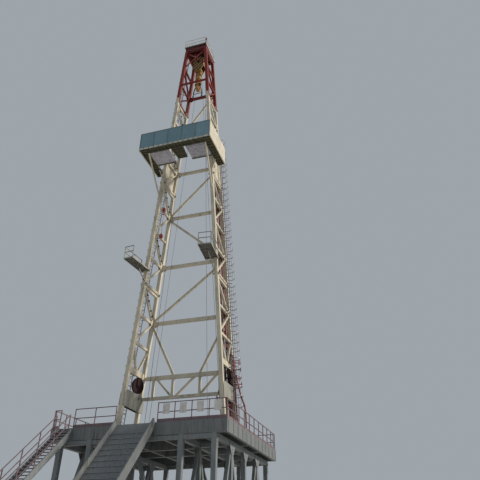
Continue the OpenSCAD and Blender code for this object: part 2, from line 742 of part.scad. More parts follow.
// hook: spring barrel under the block's clevis, and the hook body, open to the front, with an ear on each side
clevis_l = 250;
barrel_l = 0.38 * hook_l;
collar_l = 80;
eye_d = 0.30 * (hook_l - clevis_l - barrel_l - collar_l);
bowl = 0.385 * (hook_l - clevis_l - barrel_l - collar_l);
bowl_z = hook_l - bowl;
hook_t = 150;
horn_d = 90;
horn_z = block_z - clevis_l - barrel_l - collar_l - 105;

module hook_outline() {
    difference() {
        union() {
            translate([0, -bowl_z]) circle(r = bowl);
            polygon([[-0.5 * bowl, bowl - bowl_z + 140], [0.5 * bowl, bowl - bowl_z + 140], [0.97 * bowl, 50 - bowl_z],
                     [-0.5 * bowl, 0.7 * bowl - bowl_z]]);
        }
        translate([0, -bowl_z]) circle(d = 1.15 * eye_d);
        translate([0, -bowl_z]) polygon([[0, 0], 1.6 * bowl * [cos(128), sin(128)], 1.6 * bowl * [cos(195), sin(195)]]);
    }
}

module hook() {
    color(ochre) translate([0, well_y, block_z]) union() {
        translate([0, 0, -clevis_l - barrel_l]) cylinder(d = barrel_d, h = barrel_l);
        translate([0, 0, -clevis_l - barrel_l - collar_l]) cylinder(d1 = 0.6 * barrel_d, d2 = barrel_d, h = collar_l);
        rotate([90, 0, 90]) linear_extrude(height = hook_t, center = true) hook_outline();
        for (s = [-1, 1]) translate([s * (hook_t / 2 + 40), 0, horn_z - block_z]) rotate([0, 90, 0]) {
            cylinder(d = horn_d, h = 110, center = true);
            translate([0, 0, s * 65]) cylinder(d = 1.4 * horn_d, h = 20, center = true);
        }
    }
}

// distance of a link from the middle, t from 0 at the hook's ear to 1 at the lower eye
function bow(t) = mix(hook_t / 2 + 45, 245, (1 - cos(180 * min(1, t / 0.75))) / 2);
link_w = 40;

module link_outline() {
    n = 16;
    t = [for (i = [0:n]) 0.08 + 0.85 * i / n];
    polygon(concat([for (i = [0:n]) [bow(t[i]) - link_w / 2, -t[i] * link_l]],
                   [for (i = [0:n]) [bow(t[n - i]) + link_w / 2, -t[n - i] * link_l]]));
}

module elevator_links() {
    color(dark) translate([0, well_y, horn_z]) union() {
        for (s = [-1, 1]) mirror([s > 0 ? 0 : 1, 0, 0]) {
            translate([bow(0), 0, 0]) rotate([0, 90, 0]) difference() {
                cylinder(d = 1.9 * horn_d, h = link_w, center = true);
                cylinder(d = horn_d + 0.6, h = 2 * link_w, center = true);
            }
            translate([0, 25, 0]) rotate([90, 0, 0]) linear_extrude(height = 50) link_outline();
            translate([bow(1), 0, -link_l]) rotate([0, 90, 0]) difference() {
                cylinder(d = 150, h = link_w, center = true);
                cylinder(d = 66, h = 2 * link_w, center = true);
            }
        }
        translate([-bow(0.76), -12, -0.76 * link_l]) cube([2 * bow(0.76), 24, 24]);
    }
}

// lines between the crown sheaves and the block, on both sides of each sheave
module block_lines() {
    x = sheave_d / 2 - rope_d / 2;
    color(dark) for (i = [0:block_sheaves - 1], s = [-1, 1])
        rod([s * x, block_row(i), axle_z], [s * x, crown_row(s > 0 ? i : i + 1), shaft_z], rope_d);
}

// drawworks behind the mast
works_y = rear_y - 1300;
drum_z = floor_z + 480;
drum_l = 900;
drum_x = 550;
hood_l = 1500;

module drawworks_frame() {
    color(brown) union() {
        translate([-1150, works_y - 350, floor_z]) cube([2500, 1250, 120]);
        for (x = [drum_x - drum_l / 2 - 60, drum_x + drum_l / 2 + 20]) translate([x, works_y - 300, floor_z + 120 - eps])
            cube([40, 650, 620]);
        translate([-1150, works_y - 250, floor_z + 120 - eps]) cube([1000, 900, 780]);
        translate([drum_x - drum_l / 2 - 60, works_y + 350 - eps, floor_z + 120 - eps]) cube([drum_l + 120, 450, 500]);
    }
}

module drawworks_drum() {
    color(dark) translate([drum_x, works_y, drum_z]) rotate([0, 90, 0]) union() {
        cylinder(d = drum_d, h = drum_l, center = true);
        for (e = [-1, 1]) translate([0, 0, e * (drum_l / 2 - 15)]) cylinder(d = drum_d + 200, h = 30, center = true);
        cylinder(d = 90, h = drum_l + 40, center = true);
    }
}

// fast line from the crown to the drum, and the dead line down to its anchor beside the left leg
anchor = [-1640, mast_y + 1300, floor_z + 461];
anchor_d = 260;

module drilling_lines() {
    color(dark) {
        rod([guide_x, guide_y + guide_sheave_d / 2 - rope_d / 2, shaft_z],
            [drum_x + 20, works_y + drum_d / 2 + rope_d / 2 + 4, drum_z], rope_d);
        rod([-sheave_d / 2 + rope_d / 2, crown_row(0), shaft_z], anchor, rope_d);
    }
}

module line_anchor() {
    color(brown) translate([anchor.x, anchor.y, floor_z]) union() {
        translate([-150, -150, 0]) cube([300, 300, 30]);
        translate([-30, -100, 0]) cube([60, 200, 400]);
        translate([0, 0, 460 - anchor_d / 2]) rotate([0, 90, 0]) cylinder(d = anchor_d, h = 120, center = true);
    }
}

// lines of the two small hoists, from under the rear crown beam to their winches on the floor
hoist_y = mast_y + 1095;
hoist_top = [-200, -120];
hoist_foot = [-1360, 1580];
winch_d = 180;

module hoist_lines() {
    color(dark) for (i = [0, 1])
        rod([hoist_top[i], hoist_y, crown_z - crown_beam_h - 1], [hoist_foot[i], hoist_y, floor_z + 280 + winch_d / 2 + 1], 12);
}

module hoist_winches() {
    color(ochre) for (x = hoist_foot) translate([x, hoist_y, floor_z]) union() {
        translate([-120, -110, 0]) cube([240, 220, 30]);
        for (e = [-1, 1]) translate([e * 95 - 15, -70, 0]) cube([30, 140, 330]);
        translate([0, 0, 280]) rotate([0, 90, 0]) cylinder(d = winch_d, h = 190, center = true);
        for (e = [-1, 1]) translate([e * 95, 0, 280]) rotate([0, 90, 0]) cylinder(d = 1.25 * winch_d, h = 30, center = true);
    }
}

// raising sheaves under the deep foot struts, turned towards the drawworks
raise_y = 950;
raise_turn = 18;
knee_low = (knee_h + knee_rise) * slope - knee_deep / 2;
raise_z = knee_low - raise_d / 2 - 22;
sheave_t = 70;

module at_raising_sheave(s) {
    on_side(s) translate([0, raise_y, raise_z]) rotate(raise_turn) children();
}

module raising_sheaves() {
    color(maroon) for (s = [-1, 1]) at_raising_sheave(s) rotate([0, 90, 0]) sheave(raise_d, sheave_t, 90);
}

// plates that stiffen the foot of each side frame
plate_low = 1250;
plate_top = 1850;
pin_y = 1030;

module foot_plate_outline() {
    r = 230;
    for (y = [r - 80, foot_d + 140 - r]) translate([y, plate_top - r]) circle(r = r);
    translate([r - 80, plate_top - 2 * r]) square([foot_d + 220 - 2 * r, 2 * r]);
    translate([-80, plate_low]) square([foot_d + 220, plate_top - r - plate_low]);
}

// hanger plates with the axle of each raising sheave
module sheave_hangers() {
    color(maroon) for (s = [-1, 1]) at_raising_sheave(s) union() {
        for (e = [-1, 1]) translate([e * (sheave_t / 2 + 15) - 9, 0, 0]) rotate([90, 0, 90]) linear_extrude(height = 18) {
            circle(d = 150);
            polygon([[-75, 0], [75, 0], [95, knee_low - raise_z], [-95, knee_low - raise_z]]);
        }
        rotate([0, 90, 0]) cylinder(d = 90, h = sheave_t + 70, center = true);
    }
}

module foot_plates() {
    color(grey) difference() {
        for (s = [-1, 1], e = [-1, 1]) on_side(s) translate([e * (leg_s / 2 + seat + 10) - 10, 0, 0])
            rotate([90, 0, 90]) linear_extrude(height = 20) difference() {
                foot_plate_outline();
                translate([pin_y, plate_top - 120]) circle(d = 110);
            }
        cross_beam(1, low_chord_h, truss_h + 2, beam_t + 2);
    }
}

// shoes that carry the feet of the mast
module mast_shoes() {
    color(grey) for (s = [-1, 1], r = [0, 1]) {
        p = leg(s, r, foot_h / 2);
        translate([p.x, p.y, floor_z]) union() {
            translate([-200, -200, 0]) cube([400, 400, shoe_t]);
            for (e = [-1, 1]) translate([e * (foot_w2 + 15) - 15, -100, shoe_t - eps]) cube([30, 200, 200]);
        }
    }
}

rotary_x = 1200;
rotary_y = 900;

module drill_floor() {
    y0 = front_y;
    l = rear_y - front_y;
    color("SlateGray") difference() {
        union() {
            translate([-floor_x, y0, floor_z - deck_t]) cube([2 * floor_x, l, deck_t]);
            for (y = [y0, mast_y - 75, mast_y + foot_d - 75, rear_y - 150])
                translate([-floor_x, y, floor_z - floor_beam]) cube([2 * floor_x, 150, floor_beam - deck_t + eps]);
            for (x = [-floor_x, -foot_w / 2 - 75, -rotary_x / 2 - 100, rotary_x / 2, foot_w / 2 - 75, floor_x - 100])
                translate([x, y0, floor_z - floor_beam + 5]) cube([x == -floor_x || x > foot_w / 2 ? 100 : abs(x) > rotary_x ? 150 : 100, l, floor_beam - deck_t - 5 + eps]);
        }
        translate([-rotary_x / 2, well_y - rotary_y / 2, floor_z - floor_beam - 1]) cube([rotary_x, rotary_y, floor_beam + 2]);
    }
}

module rotary_table() {
    color(grey) translate([0, well_y, floor_z]) difference() {
        union() {
            translate([-rotary_x / 2, -rotary_y / 2, -200]) cube([rotary_x, rotary_y, 230]);
            translate([0, 0, 30 - eps]) cylinder(d = 640, h = 40);
        }
        translate([0, 0, -300]) cylinder(d = rotary_bore, h = 500);
    }
}

// floor rail: one run of posts and rails from a to b
module run(a, b) {
    n = max(1, round(norm(b - a) / post_pitch));
    guard([for (i = [0:n]) a + (b - a) * i / n], rail_h + 40);
    bar(a + [0, 0, 50], b + [0, 0, 50], 100, 8, (abs(b.x - a.x) > abs(b.y - a.y)) ? [0, 1, 0] : [1, 0, 0]);
}
rail_in = 30;
stair_x = -floor_x + 300;

module floor_rails() {
    z = floor_z;
    x = floor_x - rail_in;
    y0 = front_y + rail_in;
    y1 = rear_y - rail_in;
    color(brown) {
        union() run([door_w / 2, y0, z], [x, y0, z]);
        for (s = [-1, 1]) union() run([s * x, y0 + rail_cut, z], [s * x, y1, z]);
        union() run([x - rail_cut, y1, z], [-x + rail_cut, y1, z]);
        union() run([-x, y0, z], [stair_x - 40, y0, z]);
        union() run([stair_x + stair_w + 40, y0, z], [-door_w / 2, y0, z]);
    }
    stair_rails();
}

// plates hang midway between the posts of the right half of the front rail
plate_step = (floor_x - rail_in - door_w / 2) / round((floor_x - rail_in - door_w / 2) / post_pitch);

module sign_plates() {
    n = 4;
    color("WhiteSmoke") for (i = [0:n - 1])
        translate([door_w / 2 + (i + 0.5) * plate_step - plate_w / 2, front_y + rail_in - tube / 2 + 1 - 8, floor_z + rail_h - plate_h - 10])
            cube([plate_w, 8, plate_h]);
}

// one box of the substructure: a braced frame of posts and chords on two skids
module sub_box(s) {
    xc = s * foot_w / 2;
    l = rear_y - front_y;
    n = 4;
    top = floor_z - floor_beam;
    union() {
        for (e = [-1, 1]) {
            x = xc + e * (box_w / 2 - box_s / 2);
            translate([x - box_s / 2, front_y, 0]) cube([box_s, l, box_s]);
            translate([x - box_s / 2, front_y, top - box_s]) cube([box_s, l, box_s]);
            for (i = [0:n]) translate([x - box_s / 2, front_y + i * (l - box_s) / n, box_s / 2]) cube([box_s, box_s, top - box_s]);
            for (i = [0:n - 1]) {
                ya = front_y + i * (l - box_s) / n + box_s / 2;
                yb = front_y + (i + 1) * (l - box_s) / n + box_s / 2;
                up = i % 2 == 0;
                bar([x, ya, up ? box_s / 2 : top - box_s / 2], [x, yb, up ? top - box_s / 2 : box_s / 2], 0.7 * box_s, 0.7 * box_s, [1, 0, 0]);
            }
        }
        for (i = [0:n], z = [0, top - box_s]) translate([xc - box_w / 2, front_y + i * (l - box_s) / n + 10, z + 10])
            cube([box_w, box_s - 20, box_s - 20]);
    }
}

module left_substructure() color("SlateGray") sub_box(-1);
module right_substructure() color("SlateGray") sub_box(1);

// braces that tie the two boxes together at the front and the rear
module substructure_ties() {
    xi = foot_w / 2 - box_w / 2;
    top = floor_z - floor_beam;
    color("SlateGray") difference() {
        for (y = [front_y + box_s / 2, rear_y - box_s / 2]) union() {
            for (z = [box_s / 2, top - box_s / 2]) bar([-xi, y, z], [xi, y, z], 0.8 * box_s, 0.8 * box_s, [0, 1, 0]);
            for (s = [-1, 1]) bar([s * xi, y, box_s], [0, y, top - box_s / 2], 0.7 * box_s, 0.7 * box_s, [0, 1, 0]);
        }
        for (s = [-1, 1]) translate([s * xi + (s > 0 ? 0 : -200), front_y - 100, 0]) cube([200, rear_y - front_y + 200, top]);
    }
}

// ramp from the front edge of the floor down to the ground, between two side beams on legs
ramp_w = door_w - 100;

module vdoor_ramp() {
    l = norm([ramp_reach, floor_z]);
    a = atan2(floor_z, ramp_reach);
    t = 120;
    color("SlateGray") difference() {
        union() {
            translate([-ramp_w / 2, front_y - ramp_reach, 0]) rotate([a, 0, 0]) translate([0, 0, -t]) {
                translate([0, 0, t - 25]) cube([ramp_w, l, 25]);
                for (x = [0, ramp_w / 2 - 50, ramp_w - 100]) translate([x, 0, 0]) cube([100, l, t - 25 + eps]);
                for (x = [0, ramp_w - 40]) translate([x, 0, t - eps]) cube([40, l, 160]);
            }
            for (s = [-1, 1]) {
                translate([s * (ramp_w / 2 - 60) - 50, front_y - 0.45 * ramp_reach, 0]) cube([100, 100, 0.55 * floor_z - 60]);
            }
        }
        translate([-ramp_w, front_y, 0]) cube([2 * ramp_w, 1000, 2 * floor_z]);
        translate([-ramp_w, front_y - ramp_reach - 1000, -1000]) cube([2 * ramp_w, ramp_reach + 2000, 1000]);
    }
}

// stair from the front edge of the floor down to the ground
step_n = 44;

module stringers() {
    for (x = [stair_x - 40, stair_x + stair_w]) translate([x, 0, 0]) rotate([90, 0, 90]) linear_extrude(height = 40)
        polygon([[front_y - stair_reach, 0], [front_y - stair_reach + 260, 0], [front_y, floor_z - 260], [front_y, floor_z]]);
}

module stair_stringers() color("SlateGray") stringers();

module stair_treads() {
    rise = floor_z / (step_n + 1);
    run_l = stair_reach / (step_n + 1);
    color("SlateGray") for (i = [1:step_n])
        translate([stair_x, front_y - stair_reach + (i - 0.3) * run_l, i * rise - 40]) cube([stair_w, 130, 15]);
}

module stair_rails() {
    n = 7;
    color(brown) difference() {
        for (x = [stair_x - 20, stair_x + stair_w + 20]) union() {
            for (i = [0:n]) {
                f = (i + 0.3) / (n + 0.6);
                translate([x - tube / 2, front_y - stair_reach * (1 - f) - tube / 2, floor_z * f - 40]) cube([tube, tube, rail_h + 40]);
            }
            for (g = [0.5, 1])
                bar([x, front_y - stair_reach * (1 - 0.3 / (n + 0.6)), floor_z * 0.3 / (n + 0.6) + g * rail_h - 12],
                    [x, front_y - stair_reach * (1 - (n + 0.3) / (n + 0.6)), floor_z * (n + 0.3) / (n + 0.6) + g * rail_h - 12],
                    tube - 2, tube - 2, [1, 0, 0]);
        }
        stringers();
    }
}

left_lower_frame();
right_lower_frame();
left_second_frame();
right_second_frame();
left_third_frame();
right_third_frame();
left_top_frame();
right_top_frame();
rear_beams();
rear_diagonals();
lower_rear_truss();
top_section_bracing();
section_pins();
side_walls();
crown_frame();
crown_bearings();
crown_sheaves();
crown_platform();
crown_rails();
racking_board();
board_brackets();
racking_fingers();
front_windbreak();
side_windbreaks();
left_ladder();
right_ladder();
left_cage();
right_cage();
left_work_platform();
right_work_platform();
standpipe();
travelling_block();
block_sheave_set();
hook();
elevator_links();
block_lines();
drawworks_frame();
drawworks_drum();
drilling_lines();
line_anchor();
hoist_lines();
hoist_winches();
raising_sheaves();
sheave_hangers();
foot_plates();
mast_shoes();
drill_floor();
rotary_table();
floor_rails();
sign_plates();
left_substructure();
right_substructure();
substructure_ties();
vdoor_ramp();
stair_stringers();
stair_treads();
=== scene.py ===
"""Land drilling rig at 1:2: painted steel mast, crown, racking board, travelling block and drill floor."""
import json
import math
from itertools import product

import bmesh
import bpy
from mathutils import Matrix, Vector


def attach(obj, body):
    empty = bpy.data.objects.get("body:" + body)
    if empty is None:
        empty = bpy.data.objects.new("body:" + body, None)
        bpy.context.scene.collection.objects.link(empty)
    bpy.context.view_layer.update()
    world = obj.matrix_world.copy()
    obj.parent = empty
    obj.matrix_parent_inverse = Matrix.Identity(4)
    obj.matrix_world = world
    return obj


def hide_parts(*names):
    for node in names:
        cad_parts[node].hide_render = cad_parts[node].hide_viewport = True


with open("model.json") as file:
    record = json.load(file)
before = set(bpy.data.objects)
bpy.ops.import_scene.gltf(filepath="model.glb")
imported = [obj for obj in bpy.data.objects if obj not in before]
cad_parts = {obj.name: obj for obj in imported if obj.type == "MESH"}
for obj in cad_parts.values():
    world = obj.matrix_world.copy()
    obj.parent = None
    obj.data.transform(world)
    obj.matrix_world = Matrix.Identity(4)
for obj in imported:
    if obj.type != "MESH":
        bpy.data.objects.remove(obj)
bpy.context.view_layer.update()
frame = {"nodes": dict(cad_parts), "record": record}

# Camera: fitted to the legs and beams of the mast.
FRAME_PX = 480
FOCAL_PX = 508.5
EYE = Vector((7.977, -15.493, 1.12))
YAW, PITCH = 0.298, 0.592
AXIS_PX = (239.5, 213.5)

lens = bpy.data.cameras.new("camera")
lens.sensor_width = 36
lens.lens = lens.sensor_width * FOCAL_PX / FRAME_PX
lens.shift_x = (FRAME_PX / 2 - AXIS_PX[0]) / FRAME_PX
lens.shift_y = (AXIS_PX[1] - FRAME_PX / 2) / FRAME_PX
camera = bpy.data.objects.new("camera", lens)
bpy.context.scene.collection.objects.link(camera)
camera.location = EYE
camera.rotation_euler = (math.pi / 2 + PITCH, 0, YAW)
bpy.context.scene.camera = camera

# Main sizes in metres, as in the frame.
MAST_Y = 2.0
FLOOR_Z = 4.5
MAST_H = 21.0
CROWN_BEAM_H = 0.25
CROWN_Z = FLOOR_Z + MAST_H
FOOT_HALF, TOP_HALF = 2.065, 0.55
FOOT_DEEP, TOP_DEEP = 1.36, 1.16
LEG = 0.15
FIRST_LEVEL, BAY = 4.85, 1.325
KNEE_H, KNEE_TOP = 2.54, 2.61
LEAN = (FOOT_HALF - TOP_HALF) / MAST_H
SLOPE = math.hypot(1, LEAN)
WELL_Y = MAST_Y + TOP_DEEP / 2
FRONT_Y, REAR_Y = MAST_Y - 2.5, MAST_Y + 3.5
FLOOR_X = 3.0
BOARD_Z = FLOOR_Z + 12.2
BOARD_X, BOARD_FRONT, WALK = 1.725, 1.725, 0.34
WIND_H, WIND_T = 0.975, 0.02
SHAFT_Z = CROWN_Z + 0.15
BLOCK_H = 1.15
BLOCK_Z = SHAFT_Z - 0.48 - BLOCK_H
AXLE_Z = BLOCK_Z + 0.64 * BLOCK_H
WORKS_Y = REAR_Y - 1.3
DRUM = Vector((0.55, WORKS_Y, FLOOR_Z + 0.48))


def level(k):
    """Height of a main level of the side frames above the floor."""
    return FIRST_LEVEL + k * BAY


def half_width(h):
    """Distance of the legs from the middle at a height above the floor."""
    return FOOT_HALF - LEAN * h


def depth(h):
    """Distance from the front legs to the rear legs at a height above the floor."""
    return FOOT_DEEP - (FOOT_DEEP - TOP_DEEP) * h / MAST_H


def leg(s, r, h):
    """Centre of a leg: s is -1 left or 1 right, r is 0 front or 1 rear."""
    return Vector((s * half_width(h), MAST_Y + r * depth(h), FLOOR_Z + h))


def side_frame(s):
    """Place on a side frame: x outwards, y to the rear, z up along the frame."""
    return Matrix(((s / SLOPE, 0, -s * LEAN / SLOPE, s * FOOT_HALF), (0, 1, 0, MAST_Y),
                   (LEAN / SLOPE, 0, 1 / SLOPE, FLOOR_Z), (0, 0, 0, 1)))


# Materials.


def srgb(code):
    """Linear colour of a hex code."""
    parts = [int(code[i:i + 2], 16) / 255 for i in (1, 3, 5)]
    return [c / 12.92 if c <= 0.04045 else ((c + 0.055) / 1.055) ** 2.4 for c in parts] + [1]


def node(tree, kind, settings=None, **links):
    """Adds a shader node: settings are its own values, links are socket values or nodes that feed sockets.
    A link is named for its socket, or by i and the socket's number where sockets share a name."""
    n = tree.nodes.new("ShaderNode" + kind)
    for key, value in (settings or {}).items():
        setattr(n, key, value)
    for key, value in links.items():
        socket = n.inputs[int(key[1:])] if key[1:].isdigit() else n.inputs[key.replace("_", " ")]
        if isinstance(value, bpy.types.Node):
            value = next(o for o in value.outputs if o.enabled)
        if isinstance(value, bpy.types.NodeSocket):
            tree.links.new(value, socket)
        else:
            socket.default_value = value
    return n


RGB = {"data_type": "RGBA"}
TIMES, PLUS, LESS, ABOVE = ({"operation": word} for word in ("MULTIPLY", "ADD", "SUBTRACT", "GREATER_THAN"))
RIDGE, ABSOLUTE = {"operation": "PINGPONG"}, {"operation": "ABSOLUTE"}


def weathered(name, colour, faded, dirt, rough, patch_mm=600, streak_mm=60, fleck_mm=25, rust="#5b3a2c",
              metal=0.0, relief=0.12, pattern=None, glint=0.5):
    """A finish that has stood outdoors: faded in patches, streaked down the uprights and flecked."""
    m = bpy.data.materials.new(name)
    m.use_nodes = True
    t = m.node_tree
    shader = t.nodes["Principled BSDF"]
    place = node(t, "TexCoord").outputs["Object"]
    patches = node(t, "TexNoise", Vector=place, Scale=1000 / patch_mm, Detail=4.0, Roughness=0.6)
    upright = node(t, "Mapping", Vector=place, Scale=(1, 1, 0.08))
    streaks = node(t, "TexNoise", Vector=upright, Scale=1000 / streak_mm, Detail=3.0)
    flecks = node(t, "TexNoise", Vector=place, Scale=1000 / fleck_mm, Detail=2.0)
    body = node(t, "Mix", RGB, i0=node(t, "MapRange", Value=patches, From_Min=0.40, From_Max=0.62),
                i6=srgb(colour), i7=srgb(faded))
    runs = node(t, "Math", TIMES, i0=node(t, "MapRange", Value=streaks, From_Min=0.50, From_Max=0.72),
                i1=node(t, "MapRange", Value=patches, From_Min=0.35, From_Max=0.6))
    body = node(t, "Mix", RGB, i0=runs, i6=body, i7=srgb(dirt))
    height = flecks
    if pattern:
        body, height = pattern(t, place, body, flecks)
    body = node(t, "Mix", RGB, i0=node(t, "MapRange", Value=flecks, From_Min=0.70, From_Max=0.74), i6=body,
                i7=srgb(rust))
    gloss = node(t, "MapRange", Value=patches, To_Min=rough - 0.06, To_Max=rough + 0.16)
    bump = node(t, "Bump", Strength=relief, Distance=0.004, Height=height)
    for source, socket in ((body, "Base Color"), (gloss, "Roughness"), (bump, "Normal")):
        t.links.new(next(o for o in source.outputs if o.enabled), shader.inputs[socket])
    shader.inputs["Metallic"].default_value = metal
    if not metal:
        shader.inputs["Specular IOR Level"].default_value = glint
    return m


def facing(t, axis):
    """1 on faces that look along an axis, 0 on the others."""
    normal = node(t, "SeparateXYZ", Vector=node(t, "TexCoord").outputs["Normal"]).outputs[axis]
    return node(t, "Math", ABOVE, i0=node(t, "Math", ABSOLUTE, i0=normal), i1=0.7)


def stripes(t, place, body, flecks):
    """Sprayed black and ochre bands at 45 degrees, 130 mm along a plate's edge, on front and rear faces."""
    band_mm = 130
    x, _, z = node(t, "SeparateXYZ", Vector=place).outputs
    along = node(t, "Math", LESS, i0=x, i1=z)
    band = node(t, "Math", ABOVE, i0=node(t, "Math", RIDGE, i0=along, i1=band_mm / 1000), i1=band_mm / 2000)
    on = node(t, "Math", TIMES, i0=band, i1=facing(t, "Y"))
    return node(t, "Mix", RGB, i0=on, i6=body, i7=srgb("#38322a")), flecks


def strands(t, place, body, flecks):
    """Lay of a wire rope: slanted strands, drawn 40 mm apart because the real 7 mm can't show."""
    lay_mm = 40
    x, _, z = node(t, "SeparateXYZ", Vector=place).outputs
    turn = node(t, "Math", PLUS, i0=z, i1=node(t, "Math", TIMES, i0=x, i1=1.5))
    lay = node(t, "Math", RIDGE, i0=turn, i1=lay_mm / 2000)
    dark = node(t, "MapRange", Value=lay, From_Min=0.0, From_Max=0.008, To_Min=0.7, To_Max=0.0)
    return node(t, "Mix", RGB, i0=dark, i6=body, i7=srgb("#1f1d20")), lay


def grating(t, place, body, flecks):
    """Serrated bar grating on level faces: bearing bars 60 mm apart with cross rods, coarser than the real
    15 mm so that it shows. The openings between them are painted near-black as painted shade for the space
    seen through them."""
    bar_mm, rod_mm = 60, 150
    x, y, _ = node(t, "SeparateXYZ", Vector=place).outputs
    bars = node(t, "Math", RIDGE, i0=x, i1=bar_mm / 2000)
    rods = node(t, "Math", RIDGE, i0=y, i1=rod_mm / 2000)
    # Painted shade: the openings are filled near-black for the dark space below them.
    shaded_hole = node(t, "Math", TIMES, i0=node(t, "MapRange", Value=bars, From_Min=0.006, From_Max=0.010),
                i1=node(t, "MapRange", Value=rods, From_Min=0.008, From_Max=0.012))
    shaded_hole = node(t, "Math", TIMES, i0=shaded_hole, i1=facing(t, "Z"))
    rise = node(t, "Math", LESS, i0=1.0, i1=shaded_hole)
    return node(t, "Mix", RGB, i0=shaded_hole, i6=body, i7=srgb("#1c1b19")), rise


def chequer(t, place, body, flecks):
    """Rolled chequer plate: raised lozenges that lie crosswise in turn on level faces, worn bright on top.
    Drawn 90 mm apart, several times the real pitch, so that they show."""
    pitch_mm = 90
    x, y, _ = node(t, "SeparateXYZ", Vector=place).outputs
    tiles = node(t, "TexChecker", Vector=place, Scale=1000 / pitch_mm, Color1=srgb("#ffffff"),
                 Color2=srgb("#000000"))
    slants = []
    for way in (PLUS, LESS):
        wave = node(t, "Math", RIDGE, i0=node(t, "Math", way, i0=x, i1=y), i1=pitch_mm / 2000)
        slants.append(node(t, "Math", ABSOLUTE, i0=node(t, "Math", LESS, i0=wave, i1=pitch_mm / 4000)))
    swap = node(t, "Mix", i0=tiles.outputs["Fac"], i2=slants[0], i3=slants[1])
    lozenge = node(t, "MapRange", Value=swap, From_Min=0.004, From_Max=0.008, To_Min=1.0, To_Max=0.0)
    lozenge = node(t, "Math", TIMES, i0=lozenge, i1=facing(t, "Z"))
    worn = node(t, "Math", TIMES, i0=lozenge, i1=0.45)
    return node(t, "Mix", RGB, i0=worn, i6=body, i7=srgb("#a3a39c")), lozenge


def sheets(t, place, body, flecks):
    """Coated sheet in ribbed panels 690 mm wide, each a little lighter or darker than the next."""
    panel_mm, rib_mm = 690, 345
    x = node(t, "SeparateXYZ", Vector=place).outputs["X"]
    across = node(t, "Math", PLUS, i0=x, i1=BOARD_X)
    number = node(t, "Math", {"operation": "FLOOR"}, i0=node(t, "Math", TIMES, i0=across, i1=1000 / panel_mm))
    shade = node(t, "TexWhiteNoise", {"noise_dimensions": "1D"}, W=number)
    tone = node(t, "MapRange", Value=shade, To_Min=0.0, To_Max=0.35)
    rib = node(t, "Math", RIDGE, i0=x, i1=rib_mm / 2000)
    rib = node(t, "MapRange", Value=rib, From_Min=0.0, From_Max=0.02)
    return node(t, "Mix", RGB, i0=tone, i6=body, i7=srgb("#557380")), rib


def planks(t, place, body, flecks):
    """Deck plates with seams every 250 mm across the walkways and 340 mm along them, dark where they meet."""
    across_mm, along_mm = 250, 340
    x, y, _ = node(t, "SeparateXYZ", Vector=place).outputs
    seam = node(t, "Math", {"operation": "MINIMUM"}, i0=node(t, "Math", RIDGE, i0=y, i1=across_mm / 2000),
                i1=node(t, "Math", RIDGE, i0=x, i1=along_mm / 2000))
    gap = node(t, "MapRange", Value=seam, From_Min=0.004, From_Max=0.009, To_Min=0.8, To_Max=0.0)
    gap = node(t, "Math", TIMES, i0=gap, i1=facing(t, "Z"))
    return node(t, "Mix", RGB, i0=gap, i6=body, i7=srgb("#24221c")), node(t, "Math", LESS, i0=1.0, i1=gap)


def spangle(t, place, body, flecks):
    """Zinc crystals of hot-dip galvanising, 30 mm across."""
    crystal_mm = 30
    cells = node(t, "TexVoronoi", Vector=place, Scale=1000 / crystal_mm)
    grey = node(t, "SeparateXYZ", Vector=cells.outputs["Color"]).outputs["X"]
    tone = node(t, "MapRange", Value=grey, To_Min=0.0, To_Max=0.4)
    return node(t, "Mix", RGB, i0=tone, i6=body, i7=srgb("#8e8c8e")), flecks


# Cream two-coat enamel, sprayed: satin, chalked by the sun, with grey rain streaks.
cream = weathered("cream_enamel_sprayed", "#cdc4b0", "#beb7a6", "#867f6e", 0.44)
# Signal red enamel, sprayed: satin, gone a little pink where the sun bleaches it.
red = weathered("signal_red_enamel_sprayed", "#761f17", "#802c22", "#481713", 0.48, glint=0.3)
# Dark red on the crown frame: the same enamel as the signal red, darkened as painted shade of the deck, and
# dirtier with rope grease.
crown_red_shaded_greasy = weathered("crown_red_enamel_painted_shade_greasy", "#5c1d21", "#66272b", "#331416", 0.46)
# Grey primer and enamel on plates and pins: dull, greasy at the joints.
grey = weathered("grey_enamel_brushed", "#8a8881", "#96948c", "#57544d", 0.50, patch_mm=300)
# Board frame enamel: olive drab, with plate seams on its level faces.
olive = weathered("olive_enamel_sprayed", "#57543f", "#625f4a", "#37352a", 0.52, patch_mm=400, pattern=planks)
# Cast steel with an oiled skin: nearly black, soft shine, fine grain of the sand mould.
cast = weathered("sand_cast_steel_oiled", "#3a3539", "#48434a", "#221f22", 0.40, metal=0.75, relief=0.3,
                 fleck_mm=8, rust="#4a3026", patch_mm=200)
# Wire rope, greased: dark steel with the slant of its strands.
rope = weathered("steel_wire_rope_greased", "#5b5960", "#6a6870", "#37353a", 0.45, metal=0.8, relief=0.5,
                 pattern=strands)
# White enamel on handrails and plates: slightly grey, thin at the corners.
white = weathered("white_enamel_brushed", "#d3d0cd", "#c6c2c0", "#8f8883", 0.42, patch_mm=200, rust="#7a5a48")
# Blue plastisol-coated sheet of the windbreak: matt, ribbed, panel by panel a little different.
blue = weathered("plastisol_coated_sheet_blue", "#6a8a97", "#7897a3", "#526f7b", 0.52, patch_mm=900,
                 pattern=sheets)
# Hot-dip galvanised steel: mauve-grey with zinc crystals.
zinc = weathered("galvanised_steel_hot_dip", "#877f85", "#958d92", "#655e63", 0.50, metal=0.35,
                 pattern=spangle)
# Oxide red enamel on pipes, rails and the drawworks: brownish, satin.
oxide = weathered("oxide_red_enamel_brushed", "#7c3f35", "#884c41", "#48271f", 0.46, patch_mm=300)
# Ochre enamel on the block and hook, with sprayed black bands on the block's plates.
banded = weathered("ochre_enamel_banded", "#9a763c", "#a58347", "#57432a", 0.42, patch_mm=250,
                   pattern=stripes)
ochre = weathered("ochre_enamel_sprayed", "#a0752f", "#ae833e", "#62492b", 0.42, patch_mm=250)
